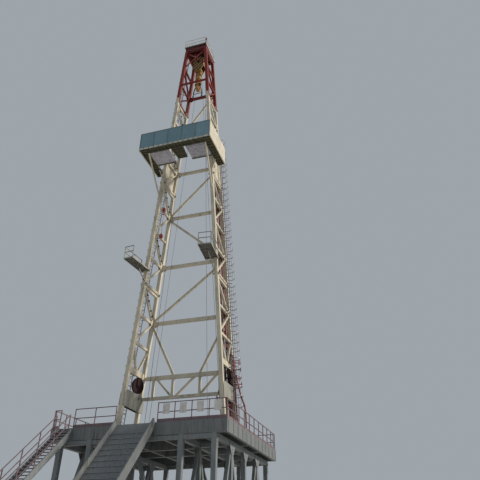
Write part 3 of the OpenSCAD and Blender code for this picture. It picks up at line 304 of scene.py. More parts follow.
# Maroon enamel on the raising sheaves: almost black, greasy.
maroon = weathered("maroon_enamel_greasy", "#2c171b", "#361e23", "#1a0f11", 0.62, patch_mm=200, glint=0.15)
# Slate grey epoxy on the substructure: heavy coat, mud-stained low down.
slate = weathered("slate_epoxy_rolled", "#6f7578", "#7b8083", "#58534a", 0.50, patch_mm=500)
# The drill floor's chequer plate in the same epoxy, worn bright on the lozenges.
tread = weathered("chequer_plate_rolled_steel", "#666a6c", "#717577", "#4b463e", 0.48, patch_mm=500,
                  relief=0.6, pattern=chequer)
# Welded bar grating, galvanised, with painted shade in the openings between the bars.
grate = weathered("bar_grating_welded", "#949086", "#a09b92", "#656058", 0.52, metal=0.3, relief=0.6,
                  pattern=grating)
# Mauve-grey enamel on the floor's guard rails: thin, rubbed by gloves.
mauve = weathered("mauve_enamel_brushed", "#6b565b", "#776368", "#43363a", 0.50, patch_mm=250)
# Pale lilac primer on the pipe fingers: matt, scuffed by the pipes.
primer = weathered("lilac_primer_sprayed", "#c9c5cd", "#bcb7c0", "#8a838c", 0.58, patch_mm=200)
# Rubber sheath of the cables: black-brown, dull.
rubber = weathered("cable_sheath_extruded_rubber", "#2e2a2b", "#393536", "#231f20", 0.62, patch_mm=200,
                   rust="#231f20")
# Scarlet enamel on hand wheels and hanging gear: fresh, semi-gloss.
scarlet = weathered("scarlet_enamel_dipped", "#8f2a2c", "#9d3a38", "#521c1c", 0.38, patch_mm=150)

SLOT_FINISH = {
    "ivory_paint": cream, "red_paint": red, "dark_red_paint": crown_red_shaded_greasy, "grey_steel": grey,
    "dark_steel": cast, "wire_rope": rope, "white_paint": white, "blue_panel": blue, "galvanised": zinc,
    "brown_red_paint": oxide, "yellow_paint": ochre, "maroon_paint": maroon, "slate_paint": slate}
NODE_FINISH = {
    "racking_board": olive, "racking_fingers": primer, "floor_rails": mauve, "crown_platform": grate,
    "drill_floor": tread, "vdoor_ramp": tread, "travelling_block": banded, "left_work_platform": grate,
    "right_work_platform": grate, "stair_treads": grate}
slots = {part["node"]: part["material_slot"] for part in frame["record"]["subparts"]}
for name, shape in frame["nodes"].items():
    shape.data.materials.clear()
    shape.data.materials.append(NODE_FINISH.get(name, SLOT_FINISH[slots[name]]))

# Pieces that the steelwork carries: each is welded, bolted and bent from a few forms in one mesh.


def aim(at, axis):
    """Place at a point, with z turned to look along an axis."""
    return Matrix.Translation(Vector(at)) @ Vector(axis).to_track_quat("Z", "Y").to_matrix().to_4x4()


def circle(n, offset=0.0):
    """The n angles of a full circle; the first is moved on by a share of a step."""
    return [2 * math.pi * (k + offset) / n for k in range(n)]


def arc(first, last, n):
    """The n + 1 angles of an arc between two angles in degrees."""
    return [math.radians(first + (last - first) * k / n) for k in range(n + 1)]


def polar(r, a):
    """Point at a radius and an angle."""
    return r * math.cos(a), r * math.sin(a)


def row(first, step, n):
    """n places in a row."""
    return [first + step * k for k in range(n)]


class Steelwork:
    """Collects the plates, bars, tubes and bolts of one piece."""

    def __init__(self, place=None):
        self.mesh = bmesh.new()
        self.place = place or Matrix()

    def skin(self, rings, place=None, ring_closes=False):
        """Skins rings of points in turn, with capped ends, or joined up where the row of rings closes."""
        put = self.place @ (place or Matrix())
        rows = [[self.mesh.verts.new(put @ Vector(p)) for p in ring] for ring in rings]
        for a, b in zip(rows, rows[1:] + (rows[:1] if ring_closes else [])):
            for i in range(len(a)):
                j = (i + 1) % len(a)
                self.mesh.faces.new((a[i], a[j], b[j], b[i]))
        if not ring_closes:
            self.mesh.faces.new(rows[0][::-1])
            self.mesh.faces.new(rows[-1])

    def plate(self, outline, t, place=None):
        """Flat plate of thickness t with its rim broken, from its outline in x and y."""
        middle = sum((Vector(p) for p in outline), Vector((0, 0))) / len(outline)
        rim = [Vector(p) + (middle - Vector(p)).normalized() * min(0.004, t / 3) for p in outline]
        rows = ((rim, -t / 2), (outline, -t / 6), (outline, t / 6), (rim, t / 2))
        self.skin([[(p[0], p[1], z) for p in points] for points, z in rows], place)

    def slab(self, low, high):
        """Rectangular plate between two corners, with its rim broken."""
        (x0, y0, z0), (x1, y1, z1) = low, high
        outline = [(x0, y0), (x1, y0), (x1, y1), (x0, y1)]
        self.plate(outline, z1 - z0, Matrix.Translation((0, 0, (z0 + z1) / 2)))

    def turned(self, profile, place=None, sides=24):
        """Form turned about z, from its radii and heights."""
        self.skin([[(*polar(r, a), z) for a in circle(sides)] for r, z in profile], place)

    def tube(self, points, d, sides=10, ring=False):
        """Round bar or tube of diameter d, bent along points."""
        points = [Vector(p) for p in points]
        n = len(points)
        side, rings = None, []
        for i, p in enumerate(points):
            ahead = points[(i + 1) % n] if ring else points[min(i + 1, n - 1)]
            behind = points[i - 1] if ring else points[max(i - 1, 0)]
            along = (ahead - behind).normalized()
            side = side or along.orthogonal()
            side = (side - along * side.dot(along)).normalized()
            other = along.cross(side)
            rings.append([p + d / 2 * (side * math.cos(a) + other * math.sin(a)) for a in circle(sides)])
        self.skin(rings, ring_closes=ring)

    def ribbon(self, points, w, t, up=(0, 0, 1)):
        """Flat bar bent along points: w wide along up, t thick."""
        points, up = [Vector(p) for p in points], Vector(up)
        rings = []
        for i, p in enumerate(points):
            along = points[min(i + 1, len(points) - 1)] - points[max(i - 1, 0)]
            out, rise = along.cross(up).normalized() * t / 2, up * w / 2
            rings.append([p + out + rise, p - out + rise, p - out - rise, p + out - rise])
        self.skin(rings)

    def bar(self, a, b, w, t, n=(1, 0, 0)):
        """Square-edged bar from a to b: t thick along n, w across."""
        a, b = Vector(a), Vector(b)
        d = (b - a).normalized()
        u = Vector(n).cross(d).normalized()
        v = d.cross(u)
        ring = [u * w / 2 * i + v * t / 2 * j for i, j in ((-1, -1), (1, -1), (1, 1), (-1, 1))]
        self.skin([[p + q for q in ring] for p in (a, b)])

    def bolt(self, at, axis, d=0.02):
        """Hexagon head on a washer, for a bolt of diameter d."""
        put = aim(at, axis)
        self.turned([(1.1 * d, 0), (1.1 * d, 0.2 * d)], put, 12)
        self.turned([(0.85 * d, 0.2 * d), (0.9 * d, 0.75 * d), (0.7 * d, 0.95 * d)], put, 6)

    def done(self, name, finish, body="rig", replaces=()):
        """Makes the piece: it rides on a body, takes the given finish and hides the parts that it replaces.
        """
        bmesh.ops.recalc_face_normals(self.mesh, faces=self.mesh.faces)
        data = bpy.data.meshes.new(name)
        self.mesh.to_mesh(data)
        self.mesh.free()
        data.materials.append(finish)
        data.polygons.foreach_set("use_smooth", [True] * len(data.polygons))
        data.set_sharp_from_angle(angle=math.radians(35))
        piece = bpy.data.objects.new(name, data)
        bpy.context.scene.collection.objects.link(piece)
        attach(piece, body)
        if replaces:
            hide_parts(*replaces)


SIDES, ROWS, FACES = (-1, 1), (0, 1), (-1, 1)
JOINTS = [level(k) for k in (1, 5, 9)]
STRUT_T, BEAM_T = 0.09, 0.09
INNER = -STRUT_T / 2
GUSSET_T, GUSSET_GAP = 0.012, 0.001
GUSSET_EDGE = LEG / 2 + 0.004


def cheeks(steel, heights):
    """Cheek plates with two rows of bolts, on the front and rear faces of the legs at the given heights."""
    w, w_end, z, z_end = 0.065, 0.045, 0.25, 0.29
    outline = [(-w, -z), (-w_end, -z_end), (w_end, -z_end), (w, -z), (w, z), (w_end, z_end), (-w_end, z_end),
               (-w, z)]
    for s, r, h, e in product(SIDES, ROWS, heights, FACES):
        steel.place = side_frame(s)
        y = r * depth(h) + e * (LEG / 2 + GUSSET_GAP + GUSSET_T / 2)
        face = Matrix.Translation((0, y, h * SLOPE)) @ Matrix.Rotation(math.pi / 2, 4, "X")
        steel.plate(outline, GUSSET_T, face)
        for x, up in product((-0.035, 0.035), (-0.22, -0.11, 0.11, 0.22)):
            steel.bolt((x, y + e * GUSSET_T / 2, h * SLOPE + up), (0, e, 0), 0.016)


def rear_gussets(steel, levels):
    """Gussets where the beams and diagonals of the rear face meet the legs, on both faces of the beam."""
    steel.place = Matrix()
    outline = [(GUSSET_EDGE + 0.010, -0.15), (GUSSET_EDGE + 0.04, -0.15), (0.30, -0.05), (0.30, 0.05),
               (GUSSET_EDGE + 0.04, 0.15), (GUSSET_EDGE, 0.15)]
    for s, k, e in product(SIDES, levels, FACES):
        c = leg(s, 1, level(k))
        y = c.y + e * (BEAM_T / 2 + GUSSET_GAP + GUSSET_T / 2)
        face = Matrix(((-s, 0, 0, c.x), (0, 0, 1, y), (0, 1, 0, c.z), (0, 0, 0, 1)))
        steel.plate(outline, GUSSET_T, face)
        for x, up in ((0.115, 0.09), (0.115, -0.09), (0.17, 0), (0.25, 0.02), (0.25, -0.02)):
            steel.bolt((c.x - s * x, y + e * GUSSET_T / 2, c.z + up), (0, e, 0), 0.016)


def side_gussets(steel, levels, r):
    """Gussets where the side diagonals meet a leg, on both faces, but not under the side walls."""
    outline = [(GUSSET_EDGE, -0.17), (GUSSET_EDGE + 0.04, -0.17), (0.26, -0.04), (0.26, 0.04),
               (GUSSET_EDGE + 0.04, 0.17), (GUSSET_EDGE, 0.17)]
    inwards = 1 - 2 * r
    for s, k, e in product(SIDES, levels, FACES):
        steel.place = side_frame(s)
        h = level(k)
        if e > 0 and level(5) < h < BOARD_Z - FLOOR_Z + WIND_H:
            continue
        x = e * (STRUT_T / 2 + GUSSET_GAP + GUSSET_T / 2)
        face = Matrix(((0, 0, 1, x), (inwards, 0, 0, r * depth(h)), (0, 1, 0, h * SLOPE), (0, 0, 0, 1)))
        steel.plate(outline, GUSSET_T, face)
        for y, up in ((0.11, 0.11), (0.11, -0.11), (0.16, 0), (0.22, 0)):
            steel.bolt((x + e * GUSSET_T / 2, r * depth(h) + inwards * y, h * SLOPE + up), (e, 0, 0), 0.014)


steel = Steelwork()
cheeks(steel, JOINTS)
rear_gussets(steel, (0, 2, 4, 6, 8))
side_gussets(steel, (0, 2, 4, 6, 8), 1)
side_gussets(steel, (3, 7), 0)
steel.done("mast_gussets", cream)

steel = Steelwork()
rear_gussets(steel, (10,))
side_gussets(steel, (10,), 1)
side_gussets(steel, (11,), 0)
steel.done("top_gussets", red)

# Nuts of the section pins with the bolts of their collars, and the pin nuts and bolts of the mast shoes.
PIN_END, COLLAR_FACE, COLLAR_R = 0.1205, 0.0995, 0.046
SHOE_PIN_H, SHOE_PIN_END, SHOE_BOLTS, SHOE_T = 0.14, 0.1255, 0.16, 0.04
steel = Steelwork()
for s, r in product(SIDES, ROWS):
    for h, e in product(JOINTS, FACES):
        steel.bolt(leg(s, r, h) + Vector((e * PIN_END, 0, 0)), (e, 0, 0), 0.034)
        for a in circle(4, 0.5):
            steel.bolt(leg(s, r, h) + Vector((e * COLLAR_FACE, *polar(COLLAR_R, a))), (e, 0, 0), 0.009)
    foot = leg(s, r, 0.13)
    for e in FACES:
        steel.bolt((foot.x + e * SHOE_PIN_END, foot.y, FLOOR_Z + SHOE_PIN_H), (e, 0, 0), 0.05)
        for y in (-SHOE_BOLTS, SHOE_BOLTS):
            steel.bolt((foot.x + e * SHOE_BOLTS, foot.y + y, FLOOR_Z + SHOE_T), (0, 0, 1), 0.03)
steel.done("pin_nuts", grey)

LADDER_STAND, LADDER_HALF, CAGE_SET = 0.11, 0.123, 0.11
HOOP_PITCH, HOOP_R, HOOP_W, HOOP_T = 0.35, 0.187, 0.026, 0.007
STRAP_R, STRAP_W, STRAP_T = 0.182, 0.012, 0.004
STRAPS = [math.radians(a) for a in (-72, 0, 72)]


def cage(s, y, foot, top, name, node_name):
    """Ladder cage: bent flat hoops 350 mm apart, held by three upright straps, with a gap at each joint."""
    steel = Steelwork(side_frame(s) @ Matrix.Translation((LEG / 2 + LADDER_STAND + CAGE_SET, y, 0)))
    stops = [0] + [h * SLOPE for h in JOINTS] + [(MAST_H - CROWN_BEAM_H) * SLOPE]
    for low, high in zip(stops, stops[1:]):
        a, b = max(foot, low + 0.15), min(top, high - 0.15)
        if b - a < HOOP_PITCH:
            continue
        n = max(1, round((b - a) / HOOP_PITCH))
        for z in row(a + 0.015, (b - a - 0.03) / n, n + 1):
            ends = [(-CAGE_SET, e * LADDER_HALF, z) for e in FACES]
            bend = [(*polar(HOOP_R, t), z) for t in arc(-125, 125, 16)]
            steel.ribbon([ends[0]] + bend + [ends[1]], HOOP_W, HOOP_T)
            for t in STRAPS:
                steel.bolt((*polar(HOOP_R + 0.003, t), z), (*polar(1, t), 0), 0.006)
        for t in STRAPS:
            x_y = polar(STRAP_R, t)
            steel.bar((*x_y, a - 0.005), (*x_y, b + 0.005), STRAP_W, STRAP_T, (*polar(1, t), 0))
    steel.done(name, zinc, replaces=[node_name])


cage(-1, 0.62, 1.1, MAST_H * SLOPE + 0.1, "left_ladder_cage", "left_cage")
cage(1, 0.96, 1.1, 14.2, "right_ladder_cage", "right_cage")

# Web covers that close the lightening holes of the raising sheaves.
RAISE_Y, RAISE_Z, RAISE_TURN = 0.95, KNEE_TOP * SLOPE - 0.427, math.radians(18)
steel = Steelwork()
for s, e in product(SIDES, FACES):
    sheave = Matrix.Translation((0, RAISE_Y, RAISE_Z)) @ Matrix.Rotation(RAISE_TURN, 4, "Z")
    steel.place = side_frame(s) @ sheave
    cover = [(0.108, 0.008), (0.108, 0.018), (0.238, 0.018), (0.238, 0.008)]
    steel.turned(cover, aim((0, 0, 0), (e, 0, 0)), 40)
    steel.bolt((e * 0.071, 0, 0), (e, 0, 0), 0.035)
steel.done("raising_sheave_covers", maroon)

# Cables clipped to the inner side of the right frame, each a little loose between its clips. Each lane has
# its place, its diameter and its slack.
CLIPS = [0.6, KNEE_TOP, 3.7] + [level(k) for k in range(6)]
LANES = ((0.55, 0.040, 0.05), (0.62, 0.034, 0.10), (0.70, 0.045, 0.04), (0.78, 0.030, 0.13))
steel = Steelwork(side_frame(1))
for lane, (y, d, slack) in enumerate(LANES):
    x = INNER - d / 2 - 0.012
    points = [(x + 0.002, y, 0.02)]
    for low, high in zip(CLIPS, CLIPS[1:]):
        for t in row(0, 1 / 8, 8):
            wave = math.sin(math.pi * t) ** 2 * slack
            swing = math.sin(2 * math.pi * t + lane) * math.sin(math.pi * t) * 0.03
            points.append((x - wave * 0.5, y + wave * (-1) ** lane + swing, (low + (high - low) * t) * SLOPE))
    points += [(x, y, h * SLOPE) for h in (CLIPS[-1], BOARD_Z - FLOOR_Z - 0.05)]
    steel.tube(points, d, 8)
steel.done("mast_cables", rubber)

steel = Steelwork(side_frame(1))
for h in CLIPS[1:]:
    z = h * SLOPE
    steel.slab((INNER - 0.062, 0.52, z - 0.025), (INNER - 0.052, 0.82, z + 0.025))
    for y in (0.535, 0.585, 0.66, 0.74, 0.805):
        steel.bolt((INNER - 0.062, y, z), (-1, 0, 0), 0.010)
        steel.slab((INNER - 0.054, y - 0.006, z - 0.02), (INNER - 0.001, y + 0.006, z + 0.02))
steel.done("cable_clips", zinc)

# The two long diagonals of the rear face, from the lowest main level down to the knee beam, with end bolts.
LONG_W, LONG_T, TRUSS_IN = 0.095, 0.07, 0.575
steel = Steelwork()
for s in SIDES:
    high = leg(s, 1, level(0) - 0.06) - Vector((s * 0.08, 0, 0.12))
    low = Vector((s * TRUSS_IN, MAST_Y + depth(KNEE_H), FLOOR_Z + KNEE_H + 0.08))
    steel.bar(high, low, LONG_W, LONG_T, (0, 1, 0))
    run = low - high
    for (end, way), k, e in product(((high, 1), (low, -1)), (0, 1), FACES):
        at = end + way * (0.12 * run.normalized() + 0.03 * k * run) + Vector((0, e * LONG_T / 2, 0))
        steel.bolt(at, (0, e, 0), 0.016)
steel.done("long_rear_diagonals", cream)

# Service risers beside the standpipe: three more lines in front of the rear leg, with clamps and couplings.
# Each has its place and its diameter.
RISERS = ((-0.105, 1.165, 0.085), (-0.11, 1.265, 0.085), (-0.12, 1.36, 0.075))
RISER_TOP = BOARD_Z - FLOOR_Z - 0.7
steel = Steelwork(side_frame(1))
for x, y, d in RISERS:
    steel.tube([(x, y, z) for z in row(0.02, (RISER_TOP - 0.02) / 24, 25)], d, 16)
    steel.tube([(x, y, RISER_TOP), (x, y - 0.02, RISER_TOP + 0.08), (x - 0.02, y - 0.09, RISER_TOP + 0.14),
                (x - 0.03, y - 0.2, RISER_TOP + 0.15)], d, 16)
    for z in (2.0, 4.1, 6.4, 8.9, 10.7):
        steel.turned([(0.6 * d, -0.07), (0.72 * d, -0.06), (0.72 * d, 0.06), (0.6 * d, 0.07)],
                     Matrix.Translation((x, y, z)), 16)
for k in range(6):
    z = level(k) * SLOPE
    steel.slab((-0.165, 1.10, z + 0.03), (INNER - 0.001, 1.27, z + 0.05))
    for y in (1.11, 1.215):
        steel.bolt((-0.15, y, z + 0.05), (0, 0, 1), 0.012)
steel.done("service_risers", oxide)

# Valves of the standpipe manifold and of the choke riser: bonnets, stems and spoked hand wheels.
PIPE_X, PIPE_Y = -LEG / 2 - 0.075 - 0.04, FOOT_DEEP - 0.36
PIPE_VALVES = ((PIPE_Y, 1.17), (PIPE_Y, 1.73), (PIPE_Y - 0.26, 1.475))


def hand_wheel(steel, at, axis, d):
    """Bonnet, stem and hub of a valve in one, and its wheel with four spokes."""
    put = aim(at, axis)
    stem = [(0.028, 0), (0.028, 0.05), (0.014, 0.06), (0.014, 0.19), (0.024, 0.2), (0.024, 0.22)]
    steel.turned(stem, put, 16)
    hub = put @ Vector((0, 0, 0.205))
    across, down = (put.to_3x3() @ Vector(v) for v in ((1, 0, 0), (0, 1, 0)))
    rim = [hub + d / 2 * (across * math.cos(a) + down * math.sin(a)) for a in circle(24)]
    steel.tube(rim, 0.018, 8, ring=True)
    for a in circle(4):
        steel.tube([hub, hub + d / 2 * (across * math.cos(a + 0.4) + down * math.sin(a + 0.4))], 0.012, 8)


steel = Steelwork(side_frame(1))
for y, z in PIPE_VALVES:
    hand_wheel(steel, (PIPE_X - 0.06, y, z), (-1, 0, 0), 0.17)
    hand_wheel(steel, (PIPE_X + 0.05, y + 0.02, z + 0.02), (0.6, -0.8, 0), 0.13)
# The choke riser stands outside the frame, just in front of the rear leg, with four valves.
CHOKE_X, CHOKE_Y, CHOKE_D = 0.14, FOOT_DEEP - 0.16, 0.07
CHOKE_PATH = ((0, 0.02), (0, 1.2), (0, 3.00), (-0.015, 3.09), (-0.06, 3.14), (-0.13, 3.16), (-0.245, 3.16))
VALVE = [(0.04, 0.12), (0.075, 0.11), (0.075, 0.09), (0.055, 0.08)]
VALVE_BODY = [(r, -z) for r, z in VALVE] + [(0.07, 0)] + VALVE[::-1]
steel.tube([(CHOKE_X + x, CHOKE_Y, z) for x, z in CHOKE_PATH], CHOKE_D, 16)
for z, axis in ((1.97, (1, 0.5, 0)), (2.25, (0.5, 1, 0)), (2.53, (1, 0.4, 0)), (2.81, (0.7, 0.8, 0.1))):
    steel.turned(VALVE_BODY, Matrix.Translation((CHOKE_X, CHOKE_Y, z)), 20)
    hand_wheel(steel, (CHOKE_X + 0.05, CHOKE_Y - 0.02, z), axis, 0.16)
steel.done("manifold_wheels", scarlet)

# Flange bolts of the manifold, and two pressure gauges.
steel = Steelwork(side_frame(1))
for (y, z), e, a in product(PIPE_VALVES, FACES, circle(8, 0.5)):
    across, along = polar(0.064, a)
    steel.bolt((PIPE_X + across, y + along, z + e * 0.1), (0, 0, e), 0.009)
for at, axis in (((PIPE_X, PIPE_Y - 0.05, 2.2), (0.3, -1, 0)), ((-0.1, 1.1, 3.25), (0.6, -0.8, 0))):
    steel.turned([(0.012, 0), (0.012, 0.05), (0.055, 0.055), (0.06, 0.075), (0.056, 0.09), (0.05, 0.085)],
                 aim(at, axis), 20)
steel.done("manifold_bolts", zinc)

# Steel line from the right leg down to its socket in the floor, outside the manifold.
LINE_X, LINE_Y = 2.56, 2.97
steel = Steelwork()
path = [(2.10 + 0.40 * t, 3.20 - 0.23 * t, 6.85 - 1.2 * t - 0.12 * math.sin(math.pi * t))
        for t in row(0, 1 / 16, 17)]
path += [(LINE_X - 0.03, LINE_Y, 5.5), (LINE_X - 0.005, LINE_Y, 5.2), (LINE_X, LINE_Y, 4.8),
         (LINE_X, LINE_Y, FLOOR_Z + 0.02)]
steel.tube(path, 0.06, 12)
steel.turned([(0.045, 0), (0.05, 0.02), (0.05, 0.12), (0.035, 0.14)],
             Matrix.Translation((LINE_X, LINE_Y, FLOOR_Z)), 16)
steel.done("manifold_line", oxide)

# Hanging tackle inside the left frame: a thin line with two small snatch blocks.
TACKLE_Y, LINE_D, HOOK_D = 2.4, 0.016, 0.022
steel = Steelwork()
for x, z in ((-1.24, 14.64), (-1.262, 13.2)):
    c = Vector((x, TACKLE_Y, z))
    steel.turned([(0.018, 0.15), (0.03, 0.12), (0.075, 0.06), (0.09, 0), (0.075, -0.07), (0.03, -0.12),
                  (0.016, -0.15)], Matrix.Translation(c), 18)
    bend = ((0, -0.14), (0.03, -0.2), (0.02, -0.26), (-0.03, -0.25), (-0.045, -0.2))
    steel.tube([c + Vector((across, 0, up)) for across, up in bend], HOOK_D, 8)
    for e in FACES:
        cheek = aim(c + Vector((0, e * 0.035, 0)), (0, e, 0))
        steel.turned([(0.07, 0.0), (0.065, 0.02), (0.03, 0.03)], cheek, 18)
steel.tube([(-1.237, TACKLE_Y, 15.90), (-1.239, TACKLE_Y, 15.3), (-1.24, TACKLE_Y, 14.78)], LINE_D, 8)
steel.tube([(-1.24, TACKLE_Y, 14.4), (-1.25, TACKLE_Y, 13.9), (-1.262, TACKLE_Y, 13.34)], LINE_D, 8)
steel.done("hanging_tackle", scarlet)

# Small clamps along the left diagonals, with the cable that they hold.
steel = Steelwork(side_frame(-1))
for k in range(0, 9, 2):
    low = Vector((INNER - 0.02, 0, level(k + 1) * SLOPE))
    high = Vector((INNER - 0.02, depth(level(k)), level(k) * SLOPE))
    for t in (0.28, 0.42, 0.66, 0.8):
        p = low.lerp(high, t)
        steel.turned([(0.028, -0.03), (0.036, -0.02), (0.036, 0.02), (0.028, 0.03)], aim(p, high - low), 12)
        steel.bolt(p + Vector((-0.03, 0, 0)), (-1, 0, 0), 0.012)
    steel.tube([low.lerp(high, n / 8) + Vector((-0.004, 0.01 * (-1) ** n, 0)) for n in range(1, 8)], 0.018, 8)
steel.done("left_frame_clamps", rubber)

# Warning light on the front right corner of the crown rail: a caged lens on a post.
post = Matrix.Translation((0.655, 1.835, CROWN_Z + 0.04))
steel = Steelwork()
steel.turned([(0.03, 0), (0.012, 0.01), (0.012, 0.22), (0.035, 0.23), (0.042, 0.25), (0.045, 0.33),
              (0.03, 0.38), (0.01, 0.4)], post, 20)
for a in circle(4):
    wire = [(*polar(r, a), z) for r, z in ((0.052, 0.23), (0.056, 0.33), (0.01, 0.415))]
    steel.tube([post @ Vector(p) for p in wire], 0.006, 6)
steel.done("crown_light", crown_red_shaded_greasy)

# Racking board: cream trim in short lengths along the lower edge of the front and side panels.
FRONT = MAST_Y - BOARD_FRONT - WIND_T
SIDE = BOARD_X + WIND_T + 0.012
TRIM_L, TRIM_LOW, TRIM_HIGH = 0.19, BOARD_Z - 0.012, BOARD_Z + 0.05
steel = Steelwork()
for x in row(0.02 - BOARD_X, (2 * BOARD_X - 0.04) / 14, 14):
    steel.slab((x, FRONT - 0.022, TRIM_LOW), (x + TRIM_L, FRONT - 0.002, TRIM_HIGH))
    for along in (0.04, 0.15):
        steel.bolt((x + along, FRONT - 0.022, BOARD_Z + 0.02), (0, -1, 0), 0.010)
for s, y in product(SIDES, row(MAST_Y - BOARD_FRONT + 0.02, 0.235, 9)):
    steel.slab((s * SIDE - 0.010, y, TRIM_LOW), (s * SIDE + 0.010, y + TRIM_L, TRIM_HIGH))
steel.done("board_trim", cream)

# Seam strips of the front panels with their screws, and the cap rail on top.
WIND_Z = BOARD_Z + WIND_H
steel = Steelwork()
for x in row(0.015 - BOARD_X, (2 * BOARD_X - 0.03) / 5, 6):
    steel.slab((x - 0.014, FRONT - 0.014, BOARD_Z + 0.055), (x + 0.014, FRONT - 0.001, WIND_Z - 0.015))
    for z in row(BOARD_Z + 0.1, 0.135, 7):
        steel.bolt((x, FRONT - 0.014, z), (0, -1, 0), 0.010)
steel.slab((-BOARD_X, FRONT - 0.012, WIND_Z - 0.045), (BOARD_X, FRONT - 0.001, WIND_Z - 0.012))
steel.done("windbreak_seams", slate)

# Stringers under the walkways of the board and under its middle tongue.
STRINGER, UNDER = 0.024, BOARD_Z + 0.012
steel = Steelwork()
for s in SIDES:
    x, half = s * (BOARD_X - WALK / 2), WALK / 2 - 0.03
    for y in row(MAST_Y - 1.6, 0.19, 11):
        steel.slab((x - half, y - STRINGER / 2, UNDER), (x + half, y + STRINGER / 2, BOARD_Z + 0.06))
    for mid in (x - 0.06, x + 0.06):
        steel.slab((mid - 0.01, MAST_Y - 1.35, BOARD_Z + 0.02), (mid + 0.01, MAST_Y + 0.36, BOARD_Z + 0.05))
for x in row(-1.36, 0.17, 17):
    steel.slab((x - 0.010, MAST_Y - BOARD_FRONT + 0.03, UNDER), (x + 0.010, MAST_Y - 1.41, BOARD_Z + 0.055))
for y in row(MAST_Y - 1.25, 0.14, 5):
    steel.slab((-0.22, y - 0.01, BOARD_Z + 0.022), (0.22, y + 0.01, BOARD_Z + 0.05))
steel.done("board_stringers", olive)

# Finger latches: a flat bar under the rear rail of the fingers, with a row of hinged latches and bolts.
steel = Steelwork()
for s in SIDES:
    a, b = sorted((s * 0.40, s * (BOARD_X - WALK)))
    steel.slab((a, MAST_Y - 0.49, BOARD_Z - 0.012), (b, MAST_Y - 0.41, BOARD_Z + 0.003))
    for x in row(a + 0.04, (b - a - 0.08) / 11, 12):
        steel.slab((x - 0.018, MAST_Y - 0.43, BOARD_Z + 0.02), (x + 0.018, MAST_Y - 0.36, BOARD_Z + 0.06))
        steel.bolt((x, MAST_Y - 0.45, BOARD_Z - 0.012), (0, 0, -1), 0.012)
steel.done("finger_latches", olive)

# Side walls: seam ribs on their outer faces.
steel = Steelwork()
for s in SIDES:
    steel.place = side_frame(s)
    for y in (0.13, 0.4, 0.9, 1.2):
        steel.bar((0.0655, y, 11.62), (0.0655, y - 0.01, 13.16), 0.03, 0.014)
steel.done("side_wall_ribs", cream)

# Travelling block: axle nuts, tie bolts through the side plates, guard bolts, and a bar above each guard.
BLOCK_HALF, GUARD_X = 0.2, 0.325
TIES = ((0.17, 0.06), (-0.17, 0.06), (0.29, 0.40), (-0.29, 0.40), (0.29, 0.88), (-0.29, 0.88), (0.18, 1.09),
        (-0.18, 1.09), (0, 1.1), (0, 0.08))
steel = Steelwork()
for e in FACES:
    y = WELL_Y + e * (BLOCK_HALF + 0.0155)
    steel.turned([(0.10, 0), (0.10, 0.012), (0.07, 0.016)], aim((0, y - e * 0.014, AXLE_Z), (0, e, 0)), 32)
    steel.bolt((0, y, AXLE_Z), (0, e, 0), 0.06)
    for x, z in TIES:
        steel.bolt((x, WELL_Y + e * BLOCK_HALF, BLOCK_Z + z), (0, e, 0), 0.028)
for s in SIDES:
    for y, z in product((-0.15, -0.05, 0.05, 0.15), (0.38, 0.64)):
        steel.bolt((s * GUARD_X, WELL_Y + y, BLOCK_Z + z), (s, 0, 0), 0.018)
    steel.tube([(s * 0.27, WELL_Y + y, BLOCK_Z + 0.93) for y in (-0.165, 0.165)], 0.04, 12)
steel.done("block_fittings", cast, "block")

# Hook: spring barrel rings, gland bolts, and the latch across the mouth.
BARREL_R = 0.176
steel = Steelwork()
for z in (0.29, 0.42, 0.66, 0.79):
    steel.turned([(BARREL_R, -0.012), (0.187, -0.008), (0.187, 0.008), (BARREL_R, 0.012)],
                 Matrix.Translation((0, WELL_Y, BLOCK_Z - z)), 40)
for a in circle(10):
    across, along = polar(BARREL_R, a)
    steel.bolt((across, WELL_Y + along, BLOCK_Z - 0.72), (*polar(1, a), 0), 0.018)
for e in FACES:
    x = e * 0.084
    steel.bar((x, WELL_Y - 0.09, BLOCK_Z - 1.02), (x, WELL_Y - 0.215, BLOCK_Z - 1.23), 0.05, 0.014)
    steel.bolt((x + e * 0.007, WELL_Y - 0.09, BLOCK_Z - 1.03), (e, 0, 0), 0.024)
steel.done("hook_latch", cast, "hook")


def around_x(centre, r, a):
    """Point on a circle about a line along x."""
    along, up = polar(r, a)
    return centre[0], centre[1] + along, centre[2] + up


# Rope on the drawworks drum, and the turn of the dead line round its anchor.
WRAPS, WRAP_STEPS, WRAP_R = 36, 16, 0.185
ANCHOR = (-1.64, MAST_Y + 1.3, FLOOR_Z + 0.33)
steel = Steelwork()
steps = WRAPS * WRAP_STEPS
steel.tube([around_x((DRUM.x - 0.40 + 0.80 * k / steps, DRUM.y, DRUM.z), WRAP_R, 2 * math.pi * k / WRAP_STEPS)
            for k in range(steps)], 0.021, 6)
steel.tube([around_x((ANCHOR[0] + 0.04 * math.sin(k), *ANCHOR[1:]), 0.137, a)
            for k, a in enumerate(circle(16))], 0.016, 6, ring=True)
steel.done("drum_rope", rope)

